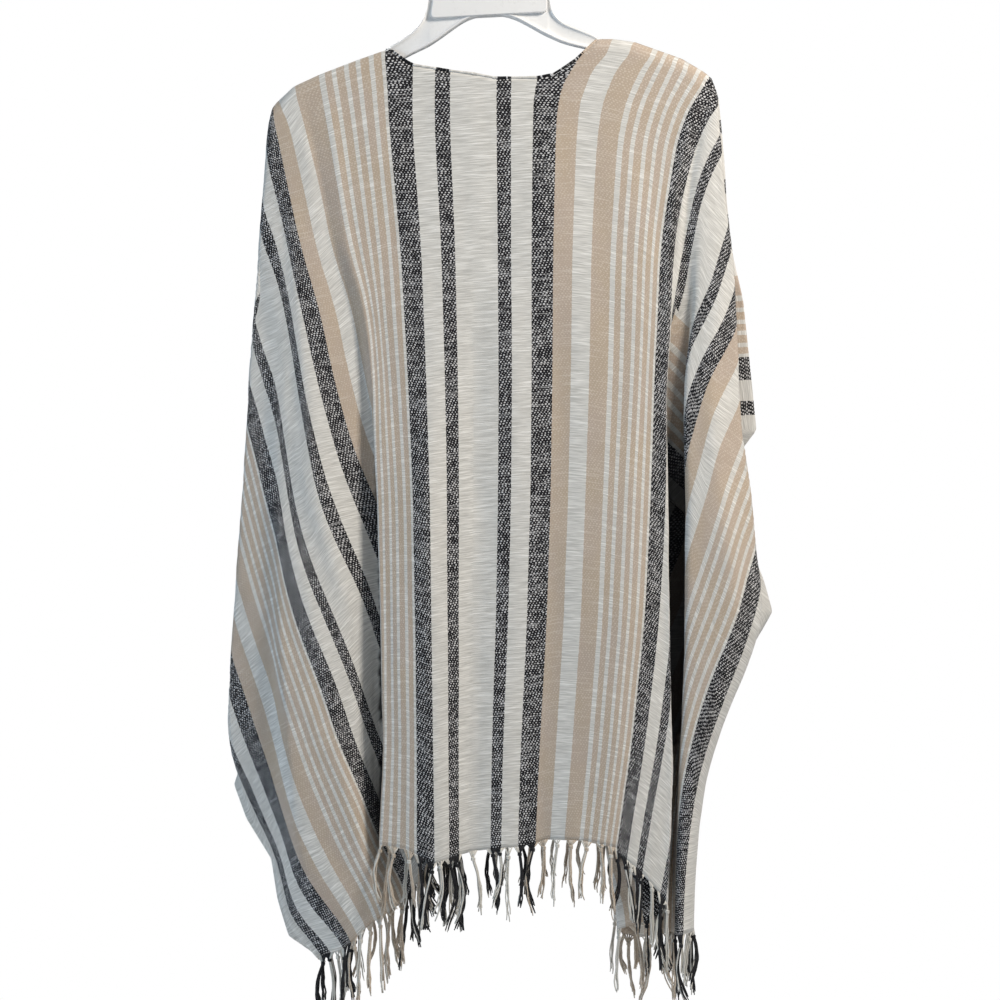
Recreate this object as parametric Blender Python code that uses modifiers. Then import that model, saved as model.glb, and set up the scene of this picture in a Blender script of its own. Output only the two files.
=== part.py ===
"""A striped kimono cardigan hanging from a plain white hanger.

Lengths in the tables are millimetres. `out` is measured sideways from the middle of the
back, `drop` down from the middle of the shoulder line, `depth` away from the shoulder plane.
`cloth` is the place across the loom width that a fold line holds at that height.
"""
import math

import bpy
import bmesh
import numpy as np

for old in list(bpy.data.objects):
    bpy.data.objects.remove(old, do_unlink=True)

MM = 0.001
SHOULDER_Z = -137.0     # shoulder line below the hook's seat
CLOTH = 1.2             # cloth thickness
GAP = 0.3               # between two pieces at a seam
SEAM_DEPTH = 0.5        # middle of the cloth at the shoulder line
HALF_LENGTH = 774.0     # shoulder line to hem along the cloth
ARM_END = 208.0         # cloth across to the end of the hanger's arm
HALF_WIDTH = 571.0      # cloth across to the selvedge
OVERHANG = HALF_WIDTH - ARM_END
TIP_WIDTH = 5.0         # half width and spread of the loop at the tip of a closed fold
TIP_SPREAD = 1.5
FAN_ROW = 3             # first row of the columns that start at the arm's end
FAN_DEPTH = 1.1         # depth of the point that those columns share
LAST = 11               # number of the selvedge among the fold lines
SIDE_LINE = 9           # number of the side fold, where the hem's fringe ends
FIRST_DROP = -10.0      # fold lines are sampled from here
DROP_STEP = 2.0         # at this spacing
LAST_DROP = 900.0       # down to here
WINDOW = 24.0           # half the length over which a fold line is rounded
FOLD_ROUND = 6.0        # a fold is rounded over this much cloth
FAN_ROUND = 0.12        # or over this share of the distance from the arm's end
FOLD_STEPS = np.array([-2.0, -1.33, -0.67, 0.0, 0.67, 1.33, 2.0])
FOLD_WEIGHTS = np.array([0.054, 0.165, 0.319, 0.4, 0.319, 0.165, 0.054])
FOLD_SETTLES = 60.0     # a closed fold's tip has its full loop this far down
USUAL_FALL = 0.96       # first guess of how far bias cloth falls for its length
ROUNDS = 12             # of that guess
PULL_FROM = 80.0        # cloth further out than this is pulled to the shoulder line
PULL_LENGTH = 50.0      # over this much of its length
ARM_ROUND = 12.0        # cloth that bends over the arm
NEAREST = 1.0           # the back's cloth comes no nearer to the shoulder plane
FRONT_START = 0.95      # the front's cloth keeps this depth
FRONT_FLAT = 0.86       # and this share of the back's depth beyond it
BEAD_RADIUS = 1.2       # rolled neck edge
BEAD_BESIDE = 0.5       # its distance beside the neck's cut, over the gap
BEAD_ASIDE = 1.9        # and beside a front's inner edge
STRIP = 5.0             # height of the strip that carries the strands
STRAND = 2.6            # width of a strand
STRAND_MARGIN = 1.2     # strip kept on each side of a strand
FRINGE_STEP = 24.0      # between strands along the hem
STRAND_LENGTH = 70.0    # and how far that varies, in two slow waves
STRAND_WAVES = (11.0, 6.0)
STRAND_SWAY = (4.0, 2.0)
KNOT = [(7.0, 1.5, 0.0), (13.0, 0.95, 0.1)]     # down, width against the strand's, share of sway
STRAND_END = 0.6
UNDER_MOST = 3.5        # largest drop of the strip below the hem
HANGER_TOP, HANGER_FOOT = (6.0, 0.35), (4.0, 0.3)   # edge rounding: most, share of height

# Rows of each fold line: drop, cloth, out, depth.
LEFT_FOLDS = {
    "middle": [(31, 0, 0, 8.5), (80, 0, 0, 9), (200, 0, -3, 14), (320, 0, -4, 20), (440, 0, -4, 28),
               (560, 0, -3, 36), (680, 0, -1, 44), (790, 0, -1, 48)],
    "ridge": [(22, 59, 59, 8.5), (80, 59, 60, 9), (200, 59, 51, 17), (320, 59, 46, 30),
              (440, 59, 42, 45), (560, 59, 40, 55), (680, 59, 38, 62), (790, 59, 36, 66)],
    "hollow": [(16, 108, 114, 8.5), (80, 108, 106, 9), (200, 108, 92, 15), (320, 108, 82, 24),
               (440, 108, 74, 38), (560, 108, 72, 46), (680, 108, 70, 52), (790, 108, 72, 55)],
    "tuck_edge": [(30, 143, 148, 8.5), (80, 145, 141, 9), (142, 147, 133, 12), (200, 150, 124, 15),
                  (258, 152, 105, 19), (320, 152, 99, 23), (380, 149, 98, 28), (440, 147, 95, 33),
                  (560, 144, 91, 40), (680, 139, 88, 46), (790, 135, 93, 50)],
    "tuck_floor": [(35, 153, 160, 8.5), (80, 155, 154, 9), (142, 157, 141, 11.5), (200, 159, 132, 13.5),
                   (258, 159, 112, 15.5), (320, 158, 101, 17), (380, 164, 87, 19), (440, 176, 68, 21),
                   (560, 197, 42, 25), (680, 225, 13, 28), (790, 253, 11, 30)],
    "tuck_back": [(41, 162, 170, 8.5), (80, 164, 164, 9), (142, 165, 148, 10.5), (200, 166, 138, 11.5),
                  (258, 164, 116, 12.5), (320, 162, 103, 13), (380, 178, 99, 14), (440, 206, 95, 15),
                  (560, 251, 91, 17), (680, 312, 89, 18), (767, 370, 92, 20), (829, 380, 63, 22)],
    "wing_ridge": [(61, 0, 194, 8), (80, 0, 197, 8.5), (142, 0, 194, 10), (200, 0, 186, 13),
                   (258, 0, 179, 17), (320, 0, 177, 24), (380, 0, 172, 30), (440, 0, 163, 35),
                   (500, 0, 161, 39), (560, 0, 153, 42), (620, 0, 137, 44), (680, 0, 129, 45),
                   (732, 0, 113, 45), (780, 0, 103, 44), (834, 0, 84, 42)],
    "step_top": [(61, 0, 194, 7), (80, 0, 198, 7.5), (142, 0, 201, 9), (200, 0, 197, 11.5),
                 (258, 0, 194, 14.5), (320, 0, 191, 18), (380, 0, 190, 23), (440, 0, 188, 28),
                 (500, 0, 188, 33), (560, 0, 187, 37), (620, 0, 182, 40), (680, 0, 176, 41),
                 (732, 0, 174, 39), (780, 0, 167, 36), (829, 0, 151, 32), (869, 0, 122, 28)],
    "step_foot": [(61, 208, 194, 6.5), (80, 214, 198, 7), (142, 238, 203, 8.5), (200, 263, 202, 10),
                  (258, 289, 201, 12), (320, 317, 198, 15), (380, 345, 199, 18), (440, 372, 199, 21),
                  (500, 399, 198, 23), (560, 426, 195, 24), (620, 454, 190, 24), (680, 481, 191, 22),
                  (732, 504, 188, 19), (780, 526, 180, 16), (829, 545, 176, 12), (865, 555, 161, 8),
                  (889, 558, 132, 5)],
    "side_fold": [(61, 208, 194, 4), (80, 219, 199, 5), (152, 256, 206, 7), (200, 284, 210, 8.5),
                  (258, 317, 215, 10), (320, 353, 220, 11.5), (380, 389, 222, 13), (440, 424, 226, 14),
                  (500, 459, 230, 14), (560, 495, 235, 13), (620, 530, 240, 11), (680, 562, 240, 8),
                  (718, 572, 225, 4), (751, 571, 212, 4), (790, 570, 190, 4), (829, 568, 185, 4),
                  (865, 567, 173, 4), (889, 567, 137, 4)],
    "sleeve_fold": [(61, 208, 194, 2.5), (80, 229, 198, 3), (110, 262, 199, 3.2), (152, 299, 168, 4),
                    (200, 350, 146, 5), (258, 411, 123, 6), (320, 478, 97, 6.5), (380, 545, 68, 6.5),
                    (410, 582, 59, 6.5), (461, 574, 94, 6.5), (519, 576, 127, 6), (574, 588, 150, 4.5),
                    (635, 588, 194, 4), (680, 588, 222, 3.5), (718, 583, 229, 2.5), (790, 577, 193, 2.5),
                    (829, 576, 188, 2.5), (865, 573, 177, 2.5), (889, 572, 140, 2.5)],
}
RIGHT_FOLDS = {
    "middle": [(31, 0, 0, 8.5), (80, 0, 0, 9), (200, 0, 3, 14), (320, 0, 4, 20), (440, 0, 4, 28),
               (560, 0, 3, 36), (680, 0, 1, 44), (790, 0, 1, 48)],
    "ridge": [(36, 39, 37, 8.5), (80, 39, 37, 9), (200, 39, 37, 15), (320, 39, 38, 24),
              (440, 39, 37, 33), (560, 39, 34, 41), (680, 39, 29, 48), (790, 39, 27, 52)],
    "hollow": [(-3, 85, 121, 8.5), (16, 85, 108, 8.5), (32, 85, 88, 8.5), (45, 85, 85, 9),
               (80, 85, 83, 9), (200, 85, 80, 15), (320, 85, 79, 21), (440, 85, 77, 29),
               (560, 85, 73, 37), (680, 85, 66, 43), (790, 85, 61, 46)],
    "billow": [(13, 174, 202, 8.5), (45, 174, 188, 9), (80, 174, 172, 9), (142, 174, 166, 12),
               (200, 174, 161, 17), (320, 174, 157, 27), (440, 174, 150, 40), (560, 174, 144, 51),
               (680, 174, 133, 58), (790, 174, 119, 63)],
    "groove_edge": [(27, 198, 224, 8.5), (80, 218, 211, 9), (142, 220, 200, 12), (200, 224, 192, 15),
                    (258, 229, 192, 19), (320, 232, 189, 24), (380, 233, 189, 29), (440, 238, 190, 33),
                    (500, 244, 191, 38), (560, 253, 192, 42), (620, 266, 192, 45), (680, 285, 193, 48),
                    (732, 306, 192, 50), (780, 321, 190, 52), (838, 344, 187, 53)],
    "groove_turn": [(33, 208, 231, 7), (80, 221, 218, 8.6), (142, 233, 205, 10), (200, 245, 199, 12),
                    (258, 256, 193, 14.5), (320, 266, 169, 17.5), (380, 281, 147, 20), (440, 298, 132, 23),
                    (500, 313, 125, 25), (560, 328, 120, 27), (620, 346, 116, 29), (680, 366, 113, 31),
                    (732, 383, 115, 33), (780, 393, 123, 34), (829, 406, 134, 35)],
    "groove_floor": [(33, 208, 231, 6), (80, 225, 220, 8.4), (142, 246, 212, 9), (200, 263, 210, 10.5),
                     (258, 281, 203, 12.5), (320, 300, 191, 14), (380, 326, 190, 15.5),
                     (440, 355, 191, 15.5), (500, 380, 192, 16), (560, 403, 193, 17), (620, 427, 193, 18),
                     (680, 448, 192, 20), (732, 460, 191, 21), (780, 466, 189, 22), (838, 469, 184, 23)],
    "wing_edge": [(33, 208, 231, 6), (80, 229, 224, 8.6), (142, 257, 217, 11), (200, 281, 219, 14),
                  (258, 308, 213, 20), (320, 335, 202, 27), (380, 360, 201, 33), (440, 389, 203, 38),
                  (500, 414, 202, 42), (560, 440, 201, 45), (620, 465, 199, 47), (680, 486, 198, 49),
                  (732, 498, 196, 50), (780, 503, 194, 51), (848, 509, 193, 52)],
    "wing_ridge": [(33, 208, 231, 6), (80, 236, 229, 8.8), (142, 273, 227, 11), (200, 307, 232, 15),
                   (258, 340, 237, 22), (320, 379, 228, 30), (380, 414, 232, 37), (440, 441, 237, 43),
                   (500, 478, 246, 48), (560, 515, 254, 50), (620, 525, 236, 52), (680, 528, 220, 53),
                   (732, 529, 210, 54), (780, 528, 203, 54), (850, 528, 201, 54)],
    "side_fold": [(33, 208, 231, 4), (53, 222, 238, 5), (80, 252, 241, 6), (103, 273, 244, 6.5),
                  (152, 314, 247, 8), (200, 343, 254, 11), (249, 372, 256, 14), (297, 404, 259, 16),
                  (345, 429, 260, 18), (394, 458, 265, 20), (442, 489, 273, 22), (490, 520, 274, 24),
                  (539, 553, 280, 26), (577, 566, 270, 28), (635, 566, 247, 28), (680, 564, 231, 28),
                  (732, 562, 219, 28), (790, 560, 214, 28), (852, 557, 213, 27)],
    "sleeve_fold": [(33, 208, 231, 3), (53, 232, 238, 3.2), (80, 271, 233, 3.8), (152, 355, 212, 4.5),
                    (200, 407, 196, 5), (249, 459, 177, 5), (297, 513, 158, 5), (345, 571, 133, 5),
                    (374, 604, 115, 5), (413, 597, 152, 6), (461, 579, 210, 8), (500, 571, 249, 9),
                    (539, 574, 283, 12), (577, 577, 273, 14), (635, 574, 249, 14), (680, 573, 233, 14),
                    (732, 570, 220, 14), (790, 567, 215, 13), (852, 564, 212, 12)],
}
# Rows of each outer edge: along the cloth from the arm's end, drop, out, depth.
LEFT_EDGE = [(0, 61, 194, 0.95), (97, 152, 198, 0.95), (199, 249, 204, 0.95), (367, 410, 212, 1.2),
             (419, 461, 160, 3), (476, 519, 152, 3), (530, 574, 146, 0.95), (591, 635, 190, 0.95),
             (634, 680, 220, 0.95), (678, 718, 232, 0.95), (711, 751, 220, 0.95), (751, 790, 196, 0.95),
             (791, 829, 190, 0.95), (830, 865, 179, 0.95), (853, 889, 143, 0.95)]
RIGHT_EDGE = [(0, 33, 231, 0.95), (21, 53, 238, 0.95), (50, 80, 241, 0.95), (74, 103, 243, 0.95),
              (124, 152, 246, 0.95), (176, 200, 251, 0.95), (227, 249, 262, 0.95),
              (278, 297, 267, 0.95), (329, 345, 272, 0.95), (360, 374, 275, 1.2), (411, 428, 234, 3),
              (454, 475, 263, 4), (493, 519, 281, 4), (522, 550, 290, 0.95), (547, 577, 275, 0.95),
              (584, 616, 262, 0.95), (622, 655, 242, 0.95), (659, 693, 226, 0.95),
              (697, 732, 219, 0.95), (737, 771, 214, 0.95), (797, 809, 213, 0.95), (853, 853, 211, 0.95)]
# Shoulder line: cloth, out, drop.
LEFT_SHOULDER = [(0, 0, 0), (82, 86, 6), (108, 114, 16), (143, 148, 29), (165, 174, 41),
                 (186, 190, 56), (208, 194, 61)]
RIGHT_SHOULDER = [(0, 0, 0), (58, 89, -4), (85, 122, -5), (103, 136, -5), (123, 157, -2),
                  (142, 174, 4), (174, 202, 14), (198, 224, 27), (208, 231, 33)]
# Hem over the middle of the back: cloth, left drop, right drop.
MIDDLE_HEM = [(0, 776, 776), (23, 779, 774), (59, 786, 772), (82, 778, 769), (97, 773, 765),
              (145, 769, 765), (208, 773, 772)]
# How far the bias cloth falls for its length: degrees from straight down, left, right.
BIAS_FALL = [(0, 0.925, 0.960), (7, 0.938, 1.000), (12, 0.968, 1.027), (16, 0.972, 1.030),
             (20, 0.977, 1.000), (25.1, 0.970, 0.961), (27, 0.970, 0.974), (30, 0.970, 1.002),
             (36, 0.971, 1.000), (44, 0.968, 0.990), (53, 0.960, 0.974), (62, 0.954, 0.960),
             (90, 0.948, 0.948)]
# Back neckline: cloth (right is negative), drop.
BACK_NECK = [(-85, -5), (-82, 14), (-78, 25), (-73, 31), (-60, 34.5), (-23, 35), (0, 31), (23, 28),
             (59, 22), (72, 14), (82, 6)]
# Hanger sections: across, top drop, bottom drop, half thickness.
HANGER = [(187, 66, 70, 1.5), (185, 61, 72, 3), (180, 55, 74, 4.5), (172, 42.5, 71, 5), (148, 30.6, 59, 5.5),
          (113, 17.3, 44, 5.5), (94, 12, 32, 3.4), (84, 12, 26, 3.2), (75, 13, 20, 3), (69, -1, 16, 3.2),
          (57, -13, 9, 5), (46, -30, 4, 6), (43, -67, 1, 6.5), (36, -73, -3, 6.5), (22, -73, -13, 6.5),
          (8, -74, -23, 6.5), (-19, -76, -29, 6.5), (-42, -77, -24, 6.5), (-55, -78, -17, 6.5),
          (-66, -77, -11, 6.5), (-73, -72, -8, 6.5), (-77, -31, -5, 6), (-85, -22, -1, 5),
          (-98, -16, 3, 3.4), (-107, 1.5, 7, 3), (-114, 2.2, 9, 3), (-121, 1.6, 10, 3),
          (-136, -2.2, 13, 5), (-157, 1.0, 21, 5), (-174, 7.0, 31, 5), (-202, 17.2, 43, 5),
          (-215, 26.5, 48, 4.5), (-221, 36, 48, 3), (-224, 41, 46, 1.5)]
# Hook wire centre line: across, height against the seat.
HOOK = [(-15.5, -60.9), (-15.8, -46), (-17, -36), (-20.5, -27), (-21.5, -18), (-19, -8.5), (-12.5, -2),
        (-6.5, 1.1), (0, 2), (6.5, 1.1), (12.5, -2), (17.5, -7.5), (20, -15), (19.5, -21)]
HOOK_RADIUS = 2.0


class Side:
    """One half of the back: fold lines sampled every two millimetres down the cloth."""

    def __init__(self, sign, folds, edge, shoulder, fall, rays, tips):
        self.sign = sign
        self.tips = tips
        self.shoulder = np.array(shoulder, float)
        self.edge = np.array(edge, float)
        self.fall = fall
        self.tip = self.shoulder[-1]
        self.drops = np.arange(FIRST_DROP, LAST_DROP, DROP_STEP)
        tracks = []
        for name, rows in folds.items():
            track = [self.follow(rows, field) for field in (1, 2, 3)]
            if name in rays:
                reach = np.maximum(0.0, self.drops - self.tip[2])
                track[0] = ARM_END + rays[name] * reach / self.bias(rays[name])
            tracks.append(track)
        along = np.interp(self.drops, self.edge[:, 1], self.edge[:, 0])
        angle = np.where(along <= OVERHANG, math.pi / 2, np.arcsin(OVERHANG / np.maximum(along, OVERHANG)))
        rim = [np.interp(self.drops, self.edge[:, 1], self.edge[:, field]) for field in (2, 3)]
        tracks.append([ARM_END + angle * along, *rim])
        self.cloth, self.out, self.depth = (np.array([t[i] for t in tracks]) for i in range(3))
        self.cloth = np.maximum.accumulate(self.cloth, axis=0)

    def follow(self, rows, field):
        """A fold line's values, rounded over a short window so that it has no corners."""
        table = np.array(rows, float)
        window = np.clip((self.drops - table[0, 0]) * 0.5, 0.0, WINDOW)
        steps = (-1.0, -0.5, 0.0, 0.5, 1.0)
        return sum(np.interp(self.drops + s * window, table[:, 0], table[:, field]) for s in steps) / len(steps)

    def bias(self, angle):
        """Fall of the cloth at an angle from straight down."""
        table = np.array(BIAS_FALL)
        return np.interp(np.degrees(angle), table[:, 0], table[:, self.fall])

    def straight(self, cloth):
        """Shoulder drop and fall for cloth over the arm."""
        hem = np.array(MIDDLE_HEM, float)
        top = np.interp(cloth, self.shoulder[:, 0], self.shoulder[:, 2])
        return top, (np.interp(cloth, hem[:, 0], hem[:, self.fall]) - top) / HALF_LENGTH

    def column(self, place):
        """Cloth, distance from the shoulder and share of the length, down one column."""
        low = min(int(place), LAST - 1)
        part = place - low
        cloth = self.cloth[low] * (1 - part) + self.cloth[low + 1] * part
        top, fall = self.straight(cloth)
        reach = (self.drops - top) / fall
        angle = np.zeros_like(cloth)
        beyond = cloth > ARM_END
        below = np.maximum(self.drops - self.tip[2], 0.01)
        guess = below / USUAL_FALL
        for _ in range(ROUNDS):
            angle = np.where(beyond, np.minimum((cloth - ARM_END) / guess, math.pi / 2), 0.0)
            guess = below / self.bias(angle)
        reach = np.where(beyond, guess, reach)
        return cloth, reach, angle

    def section(self, cloth, drop, reach):
        """Out and depth of the cloth at one place, with the folds rounded along the width."""
        index = np.clip((drop - FIRST_DROP) / DROP_STEP, 0, len(self.drops) - 1.001)
        low, part = int(index), index % 1.0
        mix = [a[:, low] * (1 - part) + a[:, low + 1] * part for a in (self.cloth, self.out, self.depth)]
        soft = min(FOLD_ROUND, max(0.0, mix[0][-1] - cloth) * 0.5)
        if cloth > ARM_END:
            soft = min(soft, FAN_ROUND * reach)
        if mix[0][0] > 1.0:
            soft = min(soft, max(0.0, cloth - mix[0][0]) * 0.5)
        place = cloth + soft * FOLD_STEPS
        side = np.where(place < 0, -1.0, 1.0)
        place = np.abs(place)
        out = side * np.interp(place, mix[0], mix[1])
        depth = float((np.interp(place, mix[0], mix[2]) * FOLD_WEIGHTS).sum() / FOLD_WEIGHTS.sum())
        for tip in self.tips:
            off = (cloth - mix[0][tip]) / TIP_WIDTH
            depth -= TIP_SPREAD * min(1.0, reach / FOLD_SETTLES) * off * math.exp(0.5 - 0.5 * off * off)
        return float((out * FOLD_WEIGHTS).sum() / FOLD_WEIGHTS.sum()), depth


FRONT_CHANGES = {
    "left": {
        "middle": [(6, 82, 86, 8.5), (45, 70, 72, 9), (100, 48, 47, 12), (175, 26, 24, 15),
                   (265, 12, 9, 18), (370, 9, 6, 20), (560, 9, 7, 24), (790, 9, 9, 28)],
        "ridge": [(10, 95, 100, 8.5), (80, 84, 82, 9.5), (200, 64, 52, 20), (320, 60, 46, 32),
                  (440, 60, 42, 42), (560, 60, 40, 50), (680, 60, 38, 54), (790, 60, 37, 56)],
    },
    "right": {
        "middle": [(-5, 85, 122, 8.5), (40, 72, 84, 9), (100, 48, 50, 12), (170, 26, 26, 15),
                   (262, 12, 10, 18), (370, 9, 6, 20), (560, 9, 7, 24), (790, 9, 9, 28)],
        "ridge": [(-5, 98, 132, 8.5), (40, 90, 98, 8.8), (80, 78, 75, 10), (200, 54, 47, 18),
                  (320, 50, 44, 28), (440, 48, 43, 38), (560, 48, 40, 46), (680, 48, 36, 52),
                  (790, 48, 34, 55)],
        "hollow": [(-4, 112, 145, 8.5), (30, 110, 114, 8.5), (80, 108, 103, 9), (200, 104, 96, 14),
                   (320, 100, 90, 20), (440, 98, 87, 27), (560, 96, 82, 34), (680, 94, 73, 40),
                   (790, 93, 67, 43)],
    },
}
RAYS = {"wing_ridge": 0.262, "step_top": 0.384}

LEFT = Side(1.0, LEFT_FOLDS, LEFT_EDGE, LEFT_SHOULDER, 1, RAYS, (3, 4, 10))
RIGHT = Side(-1.0, RIGHT_FOLDS, RIGHT_EDGE, RIGHT_SHOULDER, 2, {}, (4, 5, 10))
LEFT_FRONT = Side(1.0, {**LEFT_FOLDS, **FRONT_CHANGES["left"]}, LEFT_EDGE, LEFT_SHOULDER, 1, RAYS, (3, 4, 10))
RIGHT_FRONT = Side(-1.0, {**RIGHT_FOLDS, **FRONT_CHANGES["right"]}, RIGHT_EDGE, RIGHT_SHOULDER, 2, {}, (4, 5, 10))


def column_points(side, place, rows, front):
    """Points down one column of a panel, by row number; starts[0] is the shoulder or neck."""
    cloth, reach, angle = side.column(place)
    start = np.zeros_like(cloth)
    signed = side.sign * cloth
    if not front:
        neck = np.array(BACK_NECK, float)
        top, fall = side.straight(cloth)
        inside = (signed > neck[0, 0]) & (signed < neck[-1, 0])
        start = np.where(inside, np.maximum(0, (np.interp(signed, neck[:, 0], neck[:, 1]) - top) / fall), 0)
    below = np.maximum.accumulate(reach * np.cos(angle))
    end = float(np.interp(HALF_LENGTH, below, reach))
    share = np.maximum.accumulate((reach - start) / (end - start))
    fan = share[0] < 0 and cloth[np.searchsorted(share, 0.0)] > ARM_END - 0.5
    points = {}
    for number, row in enumerate(rows):
        if fan and 0 < number < FAN_ROW:
            continue
        if fan and number == 0:
            points[0] = (side.sign * side.tip[1], FAN_DEPTH, side.tip[2])
            continue
        drop = float(np.interp(row, share, side.drops))
        at = float(np.interp(drop, side.drops, cloth))
        down = float(np.interp(drop, side.drops, reach))
        points[number] = place_point(side, at, drop, max(0.0, down))
    return points, fan


def place_point(side, cloth, drop, reach):
    """Across, depth and drop of the middle of the cloth."""
    out, depth = side.section(cloth, drop, reach)
    if cloth <= ARM_END:
        top = float(np.interp(cloth, side.shoulder[:, 0], side.shoulder[:, 2]))
        there, _ = side.section(cloth, top, 0.0)
        line = float(np.interp(cloth, side.shoulder[:, 0], side.shoulder[:, 1]))
        if cloth > PULL_FROM:
            out += (line - there) * max(0.0, 1.0 - reach / PULL_LENGTH) ** 2
    if cloth <= ARM_END and reach < ARM_ROUND:
        bend = reach / ARM_ROUND * math.pi / 2
        depth = max(SEAM_DEPTH + 0.5 * (cloth / ARM_END) ** 4, depth * math.sin(bend))
        drop = top + ARM_ROUND * (1.0 - math.cos(bend))
    else:
        depth = max(depth, NEAREST)
    return side.sign * out, depth, drop


def front_point(point):
    """The front hangs like the back in mirror, a little flatter."""
    across, depth, drop = point
    return across, -(FRONT_START + (depth - FRONT_START) * FRONT_FLAT if depth > FRONT_START else depth), drop


def column_mesh(columns):
    """Vertices and faces of a sheet from its columns; columns of a fan share their first point."""
    verts, names, faces = [], {}, []
    for number, (points, fan) in enumerate(columns):
        for row, point in points.items():
            if row == 0 and fan and number and columns[number - 1][1]:
                names[number, 0] = names[number - 1, 0]
                continue
            names[number, row] = len(verts)
            verts.append(point)
    count = max(row for _, row in names) + 1
    for a in range(len(columns) - 1):
        b = a + 1
        fan_a, fan_b = columns[a][1], columns[b][1]
        for row in range(count - 1):
            low = row < FAN_ROW
            if low and (fan_a or fan_b):
                continue
            faces.append([names[a, row], names[b, row], names[b, row + 1], names[a, row + 1]])
        if fan_a and fan_b:
            faces.append([names[a, 0], names[b, FAN_ROW], names[a, FAN_ROW]])
        elif fan_b:
            for row in range(FAN_ROW):
                faces.append([names[b, 0], names[a, row + 1], names[a, row]])
            faces.append([names[b, 0], names[b, FAN_ROW], names[a, FAN_ROW]])
        elif fan_a:
            for row in range(FAN_ROW):
                faces.append([names[a, 0], names[b, row], names[b, row + 1]])
            faces.append([names[a, 0], names[b, FAN_ROW], names[a, FAN_ROW]])
    return np.array(verts, float), faces, names, count


def new_material(name, colour, roughness):
    """A plain material of one colour."""
    material = bpy.data.materials.new(name)
    material.use_nodes = True
    shader = material.node_tree.nodes["Principled BSDF"]
    shader.inputs["Base Color"].default_value = (*colour, 1.0)
    shader.inputs["Roughness"].default_value = roughness
    material.diffuse_color = (*colour, 1.0)
    return material


collection = bpy.data.collections.new("Kimono cardigan on hanger")
bpy.context.scene.collection.children.link(collection)


def add_object(name, verts, faces, material, closed=True):
    """An object in metres from (across, depth, drop) points in millimetres."""
    mesh = bpy.data.meshes.new(name)
    mesh.from_pydata([(x * MM, y * MM, (SHOULDER_Z - z) * MM) for x, y, z in verts], [], faces)
    if closed:
        build = bmesh.new()
        build.from_mesh(mesh)
        bmesh.ops.recalc_face_normals(build, faces=build.faces)
        if build.calc_volume(signed=True) < 0:
            bmesh.ops.reverse_faces(build, faces=build.faces)
        build.to_mesh(mesh)
        build.free()
    mesh.update()
    mesh.materials.append(material)
    made = bpy.data.objects.new(name, mesh)
    collection.objects.link(made)
    return made


class Panel:
    """One panel of cloth, as an open surface with Solidify."""

    def __init__(self, name, places, rows, front, material):
        self.front = front
        columns = []
        for side, place in places:
            points, fan = column_points(side, place, rows, front)
            if front:
                points = {row: front_point(point) for row, point in points.items()}
            columns.append((points, fan))
        verts, faces, self.names, count = column_mesh(columns)
        self.verts = verts
        self.object = add_object(name, verts, faces, material, closed=False)
        self.normals = np.array([(n[0], n[1], -n[2]) for n in (v.normal for v in self.object.data.vertices)])
        solid = self.object.modifiers.new("Cloth thickness", "SOLIDIFY")
        solid.thickness = CLOTH * MM
        solid.offset = 0.0
        self.hem = [self.names[number, count - 1] for number, (_, place) in enumerate(places) if place <= SIDE_LINE]
        self.count = count

    def beside(self, vertices, towards):
        """Points beside an edge of the panel, a bead's width towards the opening."""
        line = self.verts[vertices]
        away = np.array(towards, float) - line
        away /= np.linalg.norm(away, axis=1)[:, None]
        return line + away * (GAP + BEAD_RADIUS + BEAD_BESIDE)


BACK_ROWS = [0, 0.005, 0.012, 0.035, 0.075, 0.13, 0.19, 0.25, 0.31, 0.37, 0.4247, 0.48, 0.545,
             0.6135, 0.68, 0.74, 0.80, 0.86, 0.91, 0.96, 1]
FRONT_ROWS = [0, 0.005, 0.012, 0.035, 0.08, 0.15, 0.23, 0.31, 0.37, 0.4247, 0.49, 0.55, 0.6135, 0.69,
              0.77, 0.85, 0.93, 1]
LEFT_PLACES = [0.5, 0.85, 1, 1.2, 1.4, 1.47, 1.7, 2, 2.5, 2.85, 3, 3.3, 3.7, 3.94, 4, 4.05, 4.4, 4.8, 5,
               5.15, 5.5, 6, 6.3, 6.7, 7, 7.5, 8, 8.2, 8.6, 8.88, 9, 9.12, 9.5, 9.94, 10, 10.06, 10.5, 11]
RIGHT_PLACES = [0.5, 1, 1.5, 1.78, 1.93, 2, 2.25, 2.6, 3, 3.3, 3.7, 3.93, 3.97, 4, 4.06, 4.12, 4.5, 4.92, 5, 5.08,
                5.5, 5.85, 6, 6.2, 6.6, 6.85, 7, 7.2, 7.6, 8, 8.3, 8.7, 9, 9.12, 9.5, 9.94, 10, 10.08,
                10.5, 11]
FRONT_PLACES = [0, 0.3, 0.7, 1, 1.4]

cloth_look = new_material("Striped woven cotton", (0.55, 0.53, 0.51), 0.85)
binding_look = new_material("Rolled neck edge", (0.30, 0.29, 0.29), 0.85)
fringe_look = new_material("Knotted warp fringe", (0.33, 0.32, 0.31), 0.9)
plastic_look = new_material("White plastic", (0.86, 0.86, 0.85), 0.4)
wire_look = new_material("Hook wire", (0.75, 0.75, 0.74), 0.3)
wire_look.node_tree.nodes["Principled BSDF"].inputs["Metallic"].default_value = 1.0

places = [(RIGHT, p) for p in reversed(RIGHT_PLACES)] + [(LEFT, 0)] + [(LEFT, p) for p in LEFT_PLACES]
back = Panel("back_panel", places, BACK_ROWS, False, cloth_look)
front_left = Panel("front_left", [(LEFT_FRONT, p) for p in FRONT_PLACES + [x for x in LEFT_PLACES if x >= 2]],
                   FRONT_ROWS, True, cloth_look)
front_right = Panel("front_right", [(RIGHT_FRONT, p) for p in FRONT_PLACES
                                    + [x for x in RIGHT_PLACES if x >= 2]], FRONT_ROWS, True, cloth_look)


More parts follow.
